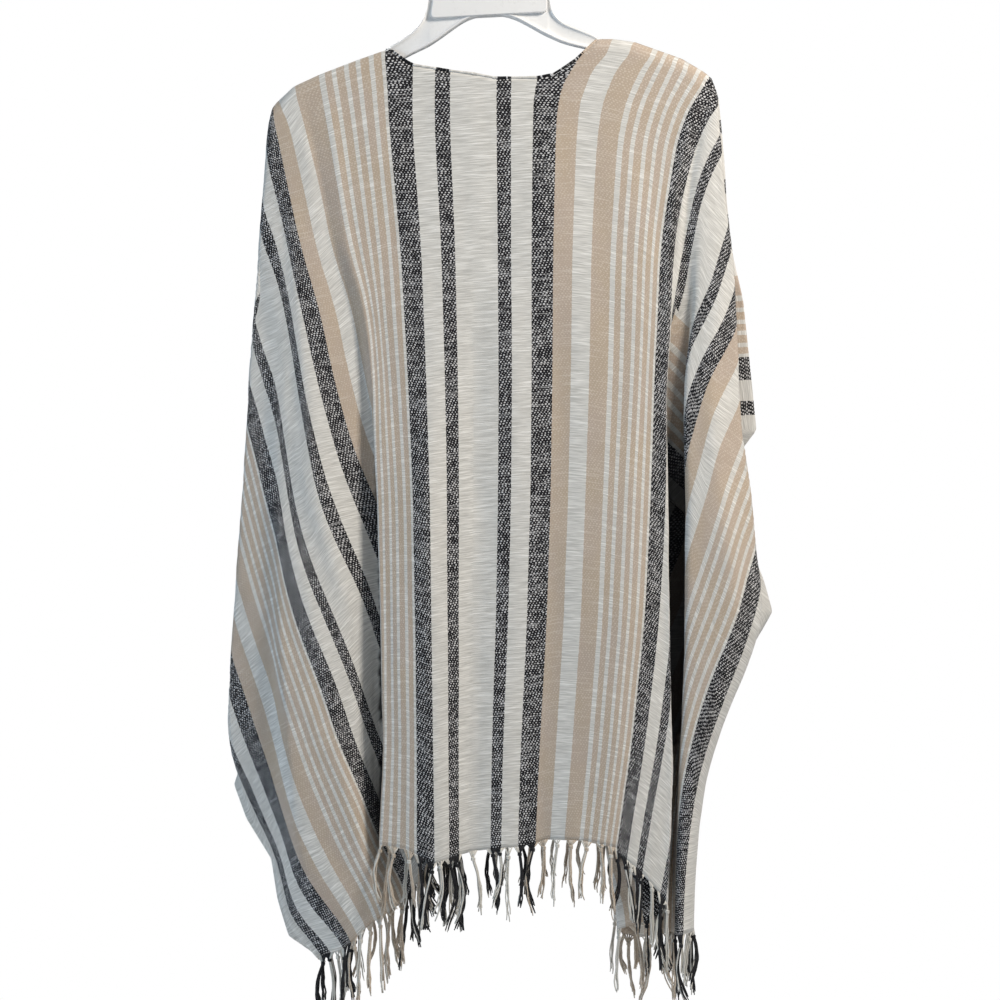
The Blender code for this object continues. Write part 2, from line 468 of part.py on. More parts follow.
def make_fringe(name, panel, first, material):
    """A narrow strip under the hem with knotted strands hanging from it, in one body."""
    line = panel.verts[panel.hem]
    steps = np.diff(line, axis=0)
    slope = np.abs(steps[:, 2]) / np.maximum(np.hypot(steps[:, 0], steps[:, 1]), 0.05)
    slope = np.maximum(np.append(slope, 0.0), np.append(0.0, slope))
    slope = np.maximum(slope, np.maximum(np.append(slope[1:], 0.0), np.append(0.0, slope[:-1])))
    under = np.minimum(UNDER_MOST, 0.1 + 1.15 * GAP * np.sqrt(1.0 + slope ** 2))
    line = line + under[:, None] * np.array([0.0, 0.0, 1.0])
    hem = [(point, panel.normals[i]) for point, i in zip(line, panel.hem)]
    sections, strands = [], []
    since, number = first, 0
    for (start, n0), (end, n1) in zip(hem, hem[1:]):
        length = float(np.linalg.norm(end - start))
        marks = [0.0]
        while length - marks[-1] * length > STRAND + 2.5 * STRAND_MARGIN and since + length > FRINGE_STEP:
            left = max(marks[-1] * length + STRAND_MARGIN, FRINGE_STEP - since - STRAND / 2)
            if left + STRAND + STRAND_MARGIN > length:
                break
            strands.append((len(sections) + len(marks), number))
            marks += [left / length, (left + STRAND) / length]
            number += 1
            since = -left - STRAND / 2
        since += length
        sections += [(start + (end - start) * t, n0 + (n1 - n0) * t) for t in marks]
    sections.append(hem[-1])
    verts, faces = [], []
    for point, normal in sections:
        for down, side in ((0.0, 1), (0.0, -1), (STRIP, -1), (STRIP, 1)):
            verts.append(point + normal * side * CLOTH / 2 + np.array([0, 0, down]))
    roots = {index for index, _ in strands}
    for index in range(len(sections) - 1):
        a, b = 4 * index, 4 * index + 4
        faces += [[a, a + 1, b + 1, b], [a + 1, a + 2, b + 2, b + 1], [a + 3, a, b, b + 3]]
        if index not in roots:
            faces.append([a + 2, a + 3, b + 3, b + 2])
    faces += [[0, 1, 2, 3], [len(verts) - 4 + i for i in (3, 2, 1, 0)]]
    for index, number in strands:
        ring = [4 * index + 2, 4 * index + 3, 4 * index + 7, 4 * index + 6]
        root = np.array([verts[i] for i in ring])
        middle = root.mean(axis=0)
        length = (STRAND_LENGTH + STRAND_WAVES[0] * math.sin(2.4 * number)
                  + STRAND_WAVES[1] * math.sin(0.9 * number + 1.0))
        sway = np.array([STRAND_SWAY[0] * math.sin(1.3 * number), STRAND_SWAY[1] * math.sin(2.1 * number), 0.0])
        for down, size, swing in (*KNOT, (length, STRAND_END, 1.0)):
            made = middle + (root - middle) * size + sway * swing + np.array([0, 0, down])
            made[:, 1] = np.minimum(made[:, 1], -0.2) if panel.front else np.maximum(made[:, 1], 0.2)
            fresh = list(range(len(verts), len(verts) + 4))
            verts += list(made)
            faces += [[ring[i], ring[(i + 1) % 4], fresh[(i + 1) % 4], fresh[i]] for i in range(4)]
            ring = fresh
        faces.append(ring)
    return add_object(name, verts, faces, material), number


def make_tube(name, points, radius, resolution, material):
    """A tube along (across, depth, drop) points."""
    curve = bpy.data.curves.new(name, "CURVE")
    curve.dimensions = "3D"
    curve.bevel_depth = radius * MM
    curve.bevel_resolution = resolution
    curve.use_fill_caps = True
    spline = curve.splines.new("POLY")
    spline.points.add(len(points) - 1)
    for target, (x, y, z) in zip(spline.points, points):
        target.co = (x * MM, y * MM, (SHOULDER_Z - z) * MM, 1.0)
    made = bpy.data.objects.new(name, curve)
    curve.materials.append(material)
    collection.objects.link(made)
    return made


make_fringe("fringe_back", back, 10.0, fringe_look)
make_fringe("fringe_front_left", front_left, 14.0, fringe_look)
make_fringe("fringe_front_right", front_right, 14.0, fringe_look)

# The rolled edge runs up one front opening, round the back neck and down the other.
neck_columns = [n for n, (side, place) in enumerate(places)
                if (side is RIGHT and place <= 2) or (side is LEFT and place <= 1.47)]
neck_line = back.beside([back.names[n, 0] for n in neck_columns], (-18, 5, -60))
opening = {}
for side, panel in (("right", front_right), ("left", front_left)):
    edge = [panel.names[0, r] for r in range(1, panel.count)]
    line = panel.verts[edge]
    opening[side] = line + np.array([math.copysign(BEAD_ASIDE, -line[0][0]), 0.0, 0.0])
make_tube("neck_edge", list(reversed(opening["right"])) + list(neck_line) + list(opening["left"]),
          BEAD_RADIUS, 0, binding_look)

verts, faces = [], []
for across, top, bottom, half in HANGER:
    shoulder = top + min(HANGER_TOP[0], HANGER_TOP[1] * (bottom - top))
    foot = bottom - min(HANGER_FOOT[0], HANGER_FOOT[1] * (bottom - top))
    verts += [(across, -0.4 * half, top), (across, 0.4 * half, top), (across, half, shoulder),
              (across, half, foot), (across, 0.5 * half, bottom), (across, -0.5 * half, bottom),
              (across, -half, foot), (across, -half, shoulder)]
for index in range(len(HANGER) - 1):
    a, b = 8 * index, 8 * index + 8
    faces += [[a + i, a + (i + 1) % 8, b + (i + 1) % 8, b + i] for i in range(8)]
faces += [list(range(8)), [len(verts) - 1 - i for i in range(8)]]
add_object("hanger_body", verts, faces, plastic_look)
make_tube("hanger_hook", [(x, 0.0, SHOULDER_Z - z) for x, z in HOOK], HOOK_RADIUS, 2, wire_look)
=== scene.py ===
# %% [markdown]
# # A striped kimono cardigan on a hanger
# The garment is one loose square of woven cotton, slit up the front and hung by its shoulders
# on a plain plastic hanger. We see its back. Before anything is drawn, the measured model is
# loaded as a fixed frame, so that every piece of cloth goes where the solids already are.

# %% Load the frame
import math

import bmesh
import bpy
import numpy as np
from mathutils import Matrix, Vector, noise


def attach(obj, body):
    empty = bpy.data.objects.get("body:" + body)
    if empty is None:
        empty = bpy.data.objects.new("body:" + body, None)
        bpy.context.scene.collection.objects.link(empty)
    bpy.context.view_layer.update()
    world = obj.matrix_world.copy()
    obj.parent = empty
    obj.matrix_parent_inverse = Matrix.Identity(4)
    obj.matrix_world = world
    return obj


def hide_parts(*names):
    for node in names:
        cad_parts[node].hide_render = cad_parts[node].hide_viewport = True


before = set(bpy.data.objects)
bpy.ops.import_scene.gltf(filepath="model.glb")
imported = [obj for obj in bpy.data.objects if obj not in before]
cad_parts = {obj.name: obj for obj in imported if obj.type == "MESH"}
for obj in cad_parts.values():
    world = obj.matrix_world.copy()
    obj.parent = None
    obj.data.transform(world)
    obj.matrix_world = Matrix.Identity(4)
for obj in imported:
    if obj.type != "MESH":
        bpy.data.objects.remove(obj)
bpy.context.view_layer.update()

MM = 0.001

# %% [markdown]
# ## How the cloth hangs
# A real maker cuts the cloth flat, so a place on it is known by two lengths: how far across the
# loom it lies, and how far down from the shoulder line. The tables say where the main fold lines
# run once it hangs. Each row is one height: `drop` below the shoulder, `cloth` across the loom,
# `out` to the side of the middle, and `depth` behind the hanger, all in millimetres.

# %% Lengths of the cut cloth
SHOULDER_Z = -137.0     # shoulder line below the hook's seat
HALF_LENGTH = 774.0     # shoulder line to hem
ARM_END = 208.0         # cloth that the hanger's arm carries
HALF_WIDTH = 571.0      # middle to selvedge
OVERHANG = HALF_WIDTH - ARM_END
PX = 0.967              # one pixel of the photograph at the garment, in millimetres
print("cut of the back:", 2 * HALF_WIDTH, "x", HALF_LENGTH, "mm")

# %% Fold lines of the half that shows on the left
LEFT_FOLDS = {
    "middle": [(31, 0, 0, 8.5), (80, 0, 0, 9), (200, 0, -3, 14), (320, 0, -4, 20), (440, 0, -4, 28),
               (560, 0, -3, 36), (680, 0, -1, 44), (790, 0, -1, 48)],
    "ridge": [(22, 59, 59, 8.5), (80, 59, 60, 9), (200, 59, 51, 17), (320, 59, 46, 30),
              (440, 59, 42, 45), (560, 59, 40, 55), (680, 59, 38, 62), (790, 59, 36, 66)],
    "hollow": [(16, 108, 114, 8.5), (80, 108, 106, 9), (200, 108, 92, 15), (320, 108, 82, 24),
               (440, 108, 74, 38), (560, 108, 72, 46), (680, 108, 70, 52), (790, 108, 72, 55)],
    "tuck_edge": [(30, 143, 148, 8.5), (80, 145, 141, 9), (142, 147, 133, 12), (200, 150, 124, 15),
                  (258, 152, 105, 19), (320, 152, 99, 23), (380, 149, 98, 28), (440, 147, 95, 33),
                  (560, 144, 91, 40), (680, 139, 88, 46), (790, 135, 93, 50)],
    "tuck_floor": [(35, 153, 160, 8.5), (80, 155, 154, 9), (142, 157, 141, 11.5), (200, 159, 132, 13.5),
                   (258, 159, 112, 15.5), (320, 158, 101, 17), (380, 164, 87, 19), (440, 176, 68, 21),
                   (560, 197, 42, 25), (680, 225, 13, 28), (790, 253, 11, 30)],
    "tuck_back": [(41, 162, 170, 8.5), (80, 164, 164, 9), (142, 165, 148, 10.5), (200, 166, 138, 11.5),
                  (258, 164, 116, 12.5), (320, 162, 103, 13), (380, 178, 99, 14), (440, 206, 95, 15),
                  (560, 251, 91, 17), (680, 312, 89, 18), (767, 370, 92, 20), (829, 380, 63, 22)],
    "wing_belly": [(56, 186, 190, 8), (80, 196, 185, 8.5), (142, 205, 179, 11), (200, 215, 173, 16),
                   (250, 228, 168, 21), (320, 240, 161, 28), (380, 253, 155, 34), (442, 264, 149, 39),
                   (490, 270, 135, 38), (538, 285, 121, 34), (620, 320, 113, 33), (680, 344, 109, 34),
                   (767, 385, 99, 34), (834, 398, 73, 33)],
    "wing_ridge": [(61, 0, 194, 8), (80, 0, 197, 8.5), (142, 0, 194, 10), (200, 0, 186, 13),
                   (258, 0, 180, 17), (320, 0, 177, 22), (380, 0, 175, 27), (440, 0, 172, 32),
                   (500, 0, 165, 38), (560, 0, 153, 42), (620, 0, 137, 44), (680, 0, 129, 45),
                   (732, 0, 113, 45), (780, 0, 103, 44), (834, 0, 84, 42)],
    "step_top": [(61, 0, 194, 7), (80, 0, 198, 7.5), (142, 0, 201, 9), (200, 0, 197, 11.5),
                 (258, 0, 194, 14.5), (320, 0, 191, 18), (380, 0, 190, 23), (440, 0, 188, 28),
                 (500, 0, 188, 33), (560, 0, 187, 37), (620, 0, 182, 40), (680, 0, 176, 41),
                 (732, 0, 174, 39), (780, 0, 167, 36), (829, 0, 151, 32), (869, 0, 122, 28)],
    "step_foot": [(61, 208, 194, 6.5), (80, 214, 198, 7), (142, 238, 203, 8.5), (200, 263, 202, 10),
                  (258, 289, 201, 12), (320, 317, 198, 15), (380, 345, 199, 18), (440, 372, 199, 21),
                  (500, 399, 198, 23), (560, 426, 195, 24), (620, 454, 190, 24), (680, 481, 191, 22),
                  (732, 504, 188, 19), (780, 526, 180, 16), (829, 545, 176, 12), (865, 555, 161, 8),
                  (889, 558, 132, 5)],
    "side_fold": [(61, 208, 194, 4), (80, 219, 199, 5), (152, 256, 206, 7), (200, 284, 210, 8.5),
                  (258, 317, 215, 10), (320, 353, 220, 11.5), (380, 389, 222, 13), (440, 424, 226, 14),
                  (500, 459, 230, 14), (560, 495, 235, 13), (620, 530, 240, 11), (680, 562, 240, 8),
                  (718, 572, 225, 4), (751, 571, 212, 4), (790, 570, 190, 4), (829, 568, 185, 4),
                  (865, 567, 173, 4), (889, 567, 137, 4)],
    "sleeve_fold": [(61, 208, 194, 2.5), (80, 229, 198, 3), (110, 262, 199, 3.2), (152, 299, 168, 4),
                    (200, 350, 146, 5), (258, 411, 123, 6), (320, 478, 97, 6.5), (380, 545, 68, 6.5),
                    (410, 582, 59, 6.5), (461, 574, 94, 6.5), (519, 576, 127, 6), (574, 588, 150, 4.5),
                    (635, 588, 194, 4), (680, 588, 222, 3.5), (718, 583, 229, 2.5), (790, 577, 193, 2.5),
                    (829, 576, 188, 2.5), (865, 573, 177, 2.5), (889, 572, 140, 2.5)],
}
LEFT_EDGE = [(0, 61, 194, 0.95), (97, 152, 198, 0.95), (199, 249, 204, 0.95), (367, 410, 212, 1.2),
             (419, 461, 160, 3), (476, 519, 152, 3), (530, 574, 146, 0.95), (591, 635, 190, 0.95),
             (634, 680, 220, 0.95), (678, 718, 232, 0.95), (711, 751, 220, 0.95), (751, 790, 196, 0.95),
             (791, 829, 190, 0.95), (830, 865, 179, 0.95), (853, 889, 143, 0.95)]
LEFT_SHOULDER = [(0, 0, 0), (82, 86, 6), (108, 114, 16), (143, 148, 29), (165, 174, 41),
                 (186, 190, 56), (208, 194, 61)]
print("left half:", len(LEFT_FOLDS), "fold lines")

# %% Fold lines of the half that shows on the right
RIGHT_FOLDS = {
    "middle": [(31, 0, 0, 8.5), (80, 0, 0, 9), (200, 0, 3, 14), (320, 0, 4, 20), (440, 0, 4, 28),
               (560, 0, 3, 36), (680, 0, 1, 44), (790, 0, 1, 48)],
    "ridge": [(36, 39, 37, 8.5), (80, 39, 37, 9), (200, 39, 37, 15), (320, 39, 38, 24),
              (440, 39, 37, 33), (560, 39, 34, 41), (680, 39, 29, 48), (790, 39, 27, 52)],
    "hollow": [(-3, 85, 121, 8.5), (16, 85, 108, 8.5), (32, 85, 88, 8.5), (45, 85, 85, 9),
               (80, 85, 83, 9), (200, 85, 80, 15), (320, 85, 79, 21), (440, 85, 77, 29),
               (560, 85, 73, 37), (680, 85, 66, 43), (790, 85, 61, 46)],
    "billow": [(13, 174, 202, 8.5), (45, 174, 188, 9), (80, 174, 172, 9), (142, 174, 166, 12),
               (200, 174, 161, 17), (320, 174, 157, 27), (440, 174, 150, 40), (560, 174, 144, 51),
               (680, 174, 133, 58), (790, 174, 119, 63)],
    "groove_edge": [(27, 198, 224, 8.5), (80, 218, 211, 9), (142, 220, 200, 12), (200, 224, 192, 15),
                    (258, 229, 192, 19), (320, 232, 189, 24), (380, 233, 189, 29), (440, 238, 190, 33),
                    (500, 244, 191, 38), (560, 253, 192, 42), (620, 266, 192, 45), (680, 285, 193, 48),
                    (732, 306, 192, 50), (780, 321, 190, 52), (838, 344, 187, 53)],
    "groove_turn": [(33, 208, 231, 7), (80, 221, 218, 8.6), (142, 233, 205, 8), (200, 245, 199, 8),
                    (258, 256, 193, 8), (320, 266, 172, 9), (380, 281, 152, 11), (440, 298, 138, 13),
                    (500, 313, 131, 15), (560, 328, 126, 18), (620, 346, 120, 21), (680, 366, 116, 24),
                    (732, 383, 117, 27), (780, 393, 124, 29), (829, 406, 134, 31)],
    "groove_floor": [(33, 208, 231, 6), (80, 225, 220, 8.4), (142, 246, 212, 9), (200, 263, 210, 10.5),
                     (258, 281, 212, 6), (320, 300, 207, 3), (380, 328, 207, 2),
                     (440, 357, 208, 2), (500, 382, 208, 3), (560, 405, 207, 4), (620, 429, 204, 6),
                     (680, 449, 201, 9), (732, 460, 198, 12), (780, 466, 195, 14), (838, 469, 193, 16)],
    "wing_edge": [(33, 208, 231, 6), (80, 229, 224, 8.6), (142, 257, 217, 11), (200, 281, 219, 14),
                  (258, 308, 213, 20), (320, 335, 202, 27), (380, 360, 201, 33), (440, 389, 203, 38),
                  (500, 414, 202, 42), (560, 440, 201, 45), (620, 465, 199, 47), (680, 486, 198, 49),
                  (732, 498, 196, 50), (780, 503, 194, 51), (848, 509, 193, 52)],
    "wing_ridge": [(33, 208, 231, 6), (80, 236, 229, 8.8), (142, 273, 227, 11), (200, 307, 232, 15),
                   (258, 340, 237, 22), (320, 379, 228, 30), (380, 414, 232, 37), (440, 441, 237, 43),
                   (500, 478, 246, 48), (560, 515, 254, 50), (620, 525, 236, 52), (680, 528, 220, 53),
                   (732, 529, 210, 54), (780, 528, 203, 54), (850, 528, 201, 54)],
    "side_fold": [(33, 208, 231, 4), (53, 222, 238, 5), (80, 252, 241, 6), (103, 273, 244, 6.5),
                  (152, 314, 247, 8), (200, 343, 254, 11), (249, 372, 256, 14), (297, 404, 259, 16),
                  (345, 429, 260, 18), (394, 458, 265, 20), (442, 489, 273, 22), (490, 520, 274, 24),
                  (539, 553, 280, 26), (577, 553, 274, 28), (635, 543, 250, 28), (680, 540, 234, 28),
                  (732, 539, 221, 28), (790, 539, 216, 28), (852, 539, 213, 27)],
    "sleeve_fold": [(33, 208, 231, 3), (53, 232, 238, 3.2), (80, 271, 233, 3.8), (152, 355, 212, 4.5),
                    (200, 407, 196, 5), (249, 459, 177, 5), (297, 513, 158, 5), (345, 571, 133, 5),
                    (374, 604, 115, 5), (413, 597, 152, 6), (461, 579, 210, 8), (500, 571, 249, 9),
                    (539, 574, 283, 12), (577, 577, 268, 14), (635, 574, 245, 14), (680, 573, 229, 14),
                    (732, 570, 217, 14), (790, 567, 212, 13), (852, 564, 209, 12)],
}
RIGHT_EDGE = [(0, 33, 231, 0.95), (21, 53, 238, 0.95), (50, 80, 241, 0.95), (74, 103, 243, 0.95),
              (124, 152, 246, 0.95), (176, 200, 251, 0.95), (227, 249, 262, 0.95),
              (278, 297, 267, 0.95), (329, 345, 272, 0.95), (360, 374, 275, 1.2), (411, 428, 234, 3),
              (454, 475, 263, 4), (493, 519, 281, 4), (522, 550, 290, 0.95), (547, 577, 275, 0.95),
              (584, 616, 254, 0.95), (622, 655, 236, 0.95), (659, 693, 222, 0.95),
              (697, 732, 214, 0.95), (737, 771, 210, 0.95), (797, 809, 209, 0.95), (853, 853, 208, 0.95)]
RIGHT_SHOULDER = [(0, 0, 0), (58, 89, -4), (85, 122, -5), (103, 136, -5), (123, 157, -2),
                  (142, 174, 4), (174, 202, 14), (198, 224, 27), (208, 231, 33)]
print("right half:", len(RIGHT_FOLDS), "fold lines")

# %% Fold lines that differ on the fronts
FRONT_CHANGES = {
    "left": {
        "middle": [(6, 82, 86, 8.5), (45, 70, 72, 9), (100, 48, 47, 12), (175, 26, 24, 15),
                   (265, 12, 9, 18), (370, 9, 6, 20), (560, 9, 7, 24), (790, 9, 9, 28)],
        "ridge": [(10, 95, 100, 8.5), (80, 84, 82, 9.5), (200, 64, 52, 20), (320, 60, 46, 32),
                  (440, 60, 42, 42), (560, 60, 40, 50), (680, 60, 38, 54), (790, 60, 37, 56)],
    },
    "right": {
        "middle": [(-5, 85, 122, 8.5), (40, 72, 84, 9), (100, 48, 50, 12), (170, 26, 26, 15),
                   (262, 12, 10, 18), (370, 9, 6, 20), (560, 9, 7, 24), (790, 9, 9, 28)],
        "ridge": [(-5, 98, 132, 8.5), (40, 90, 98, 8.8), (80, 78, 75, 10), (200, 54, 47, 18),
                  (320, 50, 44, 28), (440, 48, 43, 38), (560, 48, 40, 46), (680, 48, 36, 52),
                  (790, 48, 34, 55)],
        "hollow": [(-4, 112, 145, 8.5), (30, 110, 114, 8.5), (80, 108, 103, 9), (200, 104, 96, 14),
                   (320, 100, 90, 20), (440, 98, 87, 27), (560, 96, 82, 34), (680, 94, 73, 40),
                   (790, 93, 67, 43)],
    },
}
# Fold lines that run straight out from the arm's end, and their angle from straight down.
RAYS = {"wing_ridge": 0.262, "step_top": 0.384}
print("front fold lines:", {side: list(lines) for side, lines in FRONT_CHANGES.items()})

# %% How far the cloth falls for its length
# Hem over the middle of the back: cloth, left drop, right drop.
MIDDLE_HEM = [(0, 776, 776), (23, 779, 774), (59, 786, 772), (82, 778, 769), (97, 773, 765),
              (145, 769, 765), (208, 773, 772)]
# Bias cloth beyond the arm: degrees from straight down, fall on the left, fall on the right.
BIAS_FALL = [(0, 0.925, 0.960), (7, 0.938, 1.000), (12, 0.968, 1.027), (16, 0.972, 1.030),
             (20, 0.977, 1.000), (25.1, 0.970, 0.961), (27, 0.970, 0.974), (30, 0.970, 1.002),
             (36, 0.971, 1.000), (44, 0.968, 0.990), (53, 0.960, 0.974), (62, 0.954, 0.960),
             (90, 0.948, 0.948)]
# Back neckline: cloth (right is negative), drop.
BACK_NECK = [(-85, -5), (-82, 14), (-78, 25), (-73, 31), (-60, 34.5), (-23, 35), (0, 31), (23, 28),
             (59, 22), (72, 14), (82, 6)]
print("hem rows:", len(MIDDLE_HEM), "bias rows:", len(BIAS_FALL))

# %% [markdown]
# ## From the flat cut to the hung cloth
# Fabric could be dropped on the hanger by a cloth simulation, but then its folds would fall where
# the solver likes. The folds of this garment are known, so the cloth is laid along them instead:
# over the arm it falls straight, and beyond the arm's end it swings round that end like a fan,
# because nothing else carries it. That swing is what tilts the stripes of the two wings.

# %% The half of the garment as a class
FIRST_DROP, LAST_DROP, DROP_STEP = -10.0, 900.0, 2.0    # heights at which fold lines are sampled
FOLD_WINDOW = 24.0      # height over which a fold line's corners are rounded


class Half:
    """One half of the cloth: its fold lines, sampled every two millimetres down."""

    def __init__(self, sign, folds, edge, shoulder, fall, rays):
        self.sign, self.fall = sign, fall
        self.shoulder = np.array(shoulder, float)
        self.edge = np.array(edge, float)
        self.tip = self.shoulder[-1]
        self.drops = np.arange(FIRST_DROP, LAST_DROP, DROP_STEP)
        tracks = []
        for name, rows in folds.items():
            track = [self.follow(rows, field) for field in (1, 2, 3)]
            if name in rays:
                reach = np.maximum(0.0, self.drops - self.tip[2])
                track[0] = ARM_END + rays[name] * reach / self.bias(rays[name])
            tracks.append(track)
        along = np.interp(self.drops, self.edge[:, 1], self.edge[:, 0])
        slant = np.arcsin(OVERHANG / np.maximum(along, OVERHANG))
        angle = np.where(along <= OVERHANG, math.pi / 2, slant)
        rim = [np.interp(self.drops, self.edge[:, 1], self.edge[:, field]) for field in (2, 3)]
        tracks.append([ARM_END + angle * along, *rim])
        self.cloth, self.out, self.depth = (np.array([t[i] for t in tracks]) for i in range(3))
        self.cloth = np.maximum.accumulate(self.cloth, axis=0)

    def follow(self, rows, field):
        """A fold line's values, rounded over a short window so that it has no corners."""
        table = np.array(rows, float)
        window = np.clip((self.drops - table[0, 0]) * 0.5, 0.0, FOLD_WINDOW)
        steps = (-1.0, -0.5, 0.0, 0.5, 1.0)
        return sum(np.interp(self.drops + s * window, table[:, 0], table[:, field]) for s in steps) / 5

    def bias(self, angle):
        """Fall of the cloth at an angle from straight down."""
        table = np.array(BIAS_FALL)
        return np.interp(np.degrees(angle), table[:, 0], table[:, self.fall])

    def straight(self, cloth):
        """Shoulder drop, and fall for its length, of cloth over the arm."""
        hem = np.array(MIDDLE_HEM, float)
        top = np.interp(cloth, self.shoulder[:, 0], self.shoulder[:, 2])
        return top, (np.interp(cloth, hem[:, 0], hem[:, self.fall]) - top) / HALF_LENGTH

    def swing(self, across, down):
        """Place along the folds, drop and distance from what carries it, of places on the flat cut."""
        top, fall = self.straight(np.minimum(across, ARM_END))
        beyond = across > ARM_END
        away = np.hypot(np.maximum(across - ARM_END, 0.0), down)
        angle = np.arctan2(np.maximum(across - ARM_END, 0.0), np.maximum(down, 1e-6))
        cloth = np.where(beyond, ARM_END + away * angle, across)
        drop = np.where(beyond, self.tip[2] + self.bias(angle) * away, top + fall * down)
        return cloth, drop, np.where(beyond, away, down)


LEFT = Half(1.0, LEFT_FOLDS, LEFT_EDGE, LEFT_SHOULDER, 1, RAYS)
RIGHT = Half(-1.0, RIGHT_FOLDS, RIGHT_EDGE, RIGHT_SHOULDER, 2, {})
LEFT_FRONT = Half(1.0, {**LEFT_FOLDS, **FRONT_CHANGES["left"]}, LEFT_EDGE, LEFT_SHOULDER, 1, RAYS)
RIGHT_FRONT = Half(-1.0, {**RIGHT_FOLDS, **FRONT_CHANGES["right"]}, RIGHT_EDGE, RIGHT_SHOULDER, 2, {})
print("fold lines with the selvedge, per half:", len(LEFT.cloth))

# %% The cross-section at one height
TIP_WIDTH = 5.0         # half width of the loop at the tip of a closed fold
TIP_SPREAD = 1.5        # and how far it stays open
TIP_LINES = {1.0: (3, 4, 11), -1.0: (4, 5, 10)}     # fold lines with such a tip, on each half
FOLD_ROUND = 6.0        # cloth to each side over which a fold is rounded
FAN_ROUND = 0.12        # and its share of the distance from the arm's end, in the fan
ROUND_STEPS = (-2.0, -1.33, -0.67, 0.0, 0.67, 1.33, 2.0)
ROUND_WEIGHTS = (0.054, 0.165, 0.319, 0.4, 0.319, 0.165, 0.054)     # of a bell curve


def across_folds(half, cloth, drop, reach):
    """Out and depth of many places, with the folds rounded along the width."""
    index = np.clip((drop - FIRST_DROP) / DROP_STEP, 0, len(half.drops) - 1.001)
    low = index.astype(int)
    part = index - low
    lines = [a[:, low] * (1 - part) + a[:, low + 1] * part for a in (half.cloth, half.out, half.depth)]
    soft = np.minimum(FOLD_ROUND, np.maximum(0.0, lines[0][-1] - cloth) * 0.5)
    soft = np.where(cloth > ARM_END, np.minimum(soft, FAN_ROUND * reach), soft)
    opening = lines[0][0] > 1.0
    soft = np.where(opening, np.minimum(soft, np.maximum(0.0, cloth - lines[0][0]) * 0.5), soft)
    out, depth, total = np.zeros_like(cloth), np.zeros_like(cloth), 0.0
    for step, weight in zip(ROUND_STEPS, ROUND_WEIGHTS):
        place = cloth + step * soft
        side = np.where(place < 0, -1.0, 1.0)
        place = np.abs(place)
        here_out, here_depth = lines[1][0].copy(), lines[2][0].copy()
        for a in range(len(lines[0]) - 1):
            width = np.maximum(lines[0][a + 1] - lines[0][a], 1e-6)
            share = np.clip((place - lines[0][a]) / width, 0.0, 1.0)
            here_out += share * (lines[1][a + 1] - lines[1][a])
            here_depth += share * (lines[2][a + 1] - lines[2][a])
        out += weight * side * here_out
        depth += weight * here_depth
        total += weight
    for tip in TIP_LINES[half.sign]:
        off = (cloth - lines[0][tip]) / TIP_WIDTH
        depth -= total * TIP_SPREAD * np.minimum(1.0, reach / 60) * off * np.exp(0.5 - 0.5 * off * off)
    return out / total, depth / total


print("section half way down, out and depth:",
      [np.round(v, 1).tolist() for v in across_folds(LEFT, np.array([0.0, 59.0]), np.array([400.0] * 2),
                                                     np.array([390.0] * 2))])

# %% [markdown]
# ## Soft creases
# Woven cotton gauze never hangs as smooth as the fold lines alone would have it. Small rumples
# could be a bump map, but the wide ones also bend the stripes, so they are moved into the mesh:
# a seeded noise, stretched along the hang of the cloth, and still where the hanger carries it.

# %% Crease height over the cut cloth
CREASES = [  # width, length, height, seed, in millimetres
    (46.0, 150.0, 1.5, 3.0),
    (24.0, 58.0, 0.7, 11.0),
    (11.0, 19.0, 0.22, 23.0),
]
CREASE_START, CREASE_GROWS = 8.0, 70.0      # no crease this near the hanger, and the way to full height


def crease_height(across, down, reach, panel_seed, deeper):
    """Height of the soft creases, in millimetres, at places on the flat cut."""
    height = np.zeros(len(across))
    for width, length, size, seed in CREASES:
        for i, (u, v) in enumerate(zip(across, down)):
            height[i] += size * deeper * noise.noise((u / width, v / length, seed + panel_seed))
    return height * np.clip((reach - CREASE_START) / CREASE_GROWS, 0.0, 1.0)


print("crease sizes:", [row[2] for row in CREASES], "mm")

# %% [markdown]
# ## A place on the cut, hung
# This helper joins the swing, the folds and the rounding over the arm. The front hangs like the
# back seen in a mirror, because the same hanger carries both and the photograph doesn't show it.

# %% Hang a list of places
SEAM_DEPTH = 0.5        # middle of the cloth at the shoulder line
ARM_ROUND = 12.0        # cloth that bends over the arm
SEAM_RISE = 0.5         # and how much deeper it is at the arm's end
PULL_FROM = 80.0        # cloth further out than this is pulled to the shoulder line
PULL_REACH = 50.0       # and the pull ends this far down
LEAST_DEPTH = 1.0       # hung cloth keeps this far from the middle plane


def hang(half, across, down, front):
    """Across, depth and drop in millimetres of places on the flat cut, and their distance down."""
    cloth, drop, reach = half.swing(across, down)
    out, depth = across_folds(half, cloth, drop, reach)
    carried = cloth <= ARM_END
    top, _ = half.straight(np.minimum(cloth, ARM_END))
    there, _ = across_folds(half, cloth, top, np.zeros_like(cloth))
    line = np.interp(cloth, half.shoulder[:, 0], half.shoulder[:, 1])
    pull = np.maximum(0.0, 1.0 - reach / PULL_REACH) ** 2
    out = out + np.where(carried & (cloth > PULL_FROM), (line - there) * pull, 0.0)
    bend = np.clip(reach / ARM_ROUND, 0.0, 1.0) * math.pi / 2
    over = carried & (reach < ARM_ROUND)
    seam = SEAM_DEPTH + SEAM_RISE * (np.minimum(cloth, ARM_END) / ARM_END) ** 4
    depth = np.where(over, np.maximum(seam, depth * np.sin(bend)), np.maximum(depth, LEAST_DEPTH))
    drop = np.where(over, top + ARM_ROUND * (1.0 - np.cos(bend)), drop)
    if front:
        depth = -depth
    return np.stack([half.sign * out, depth, drop], axis=-1), reach


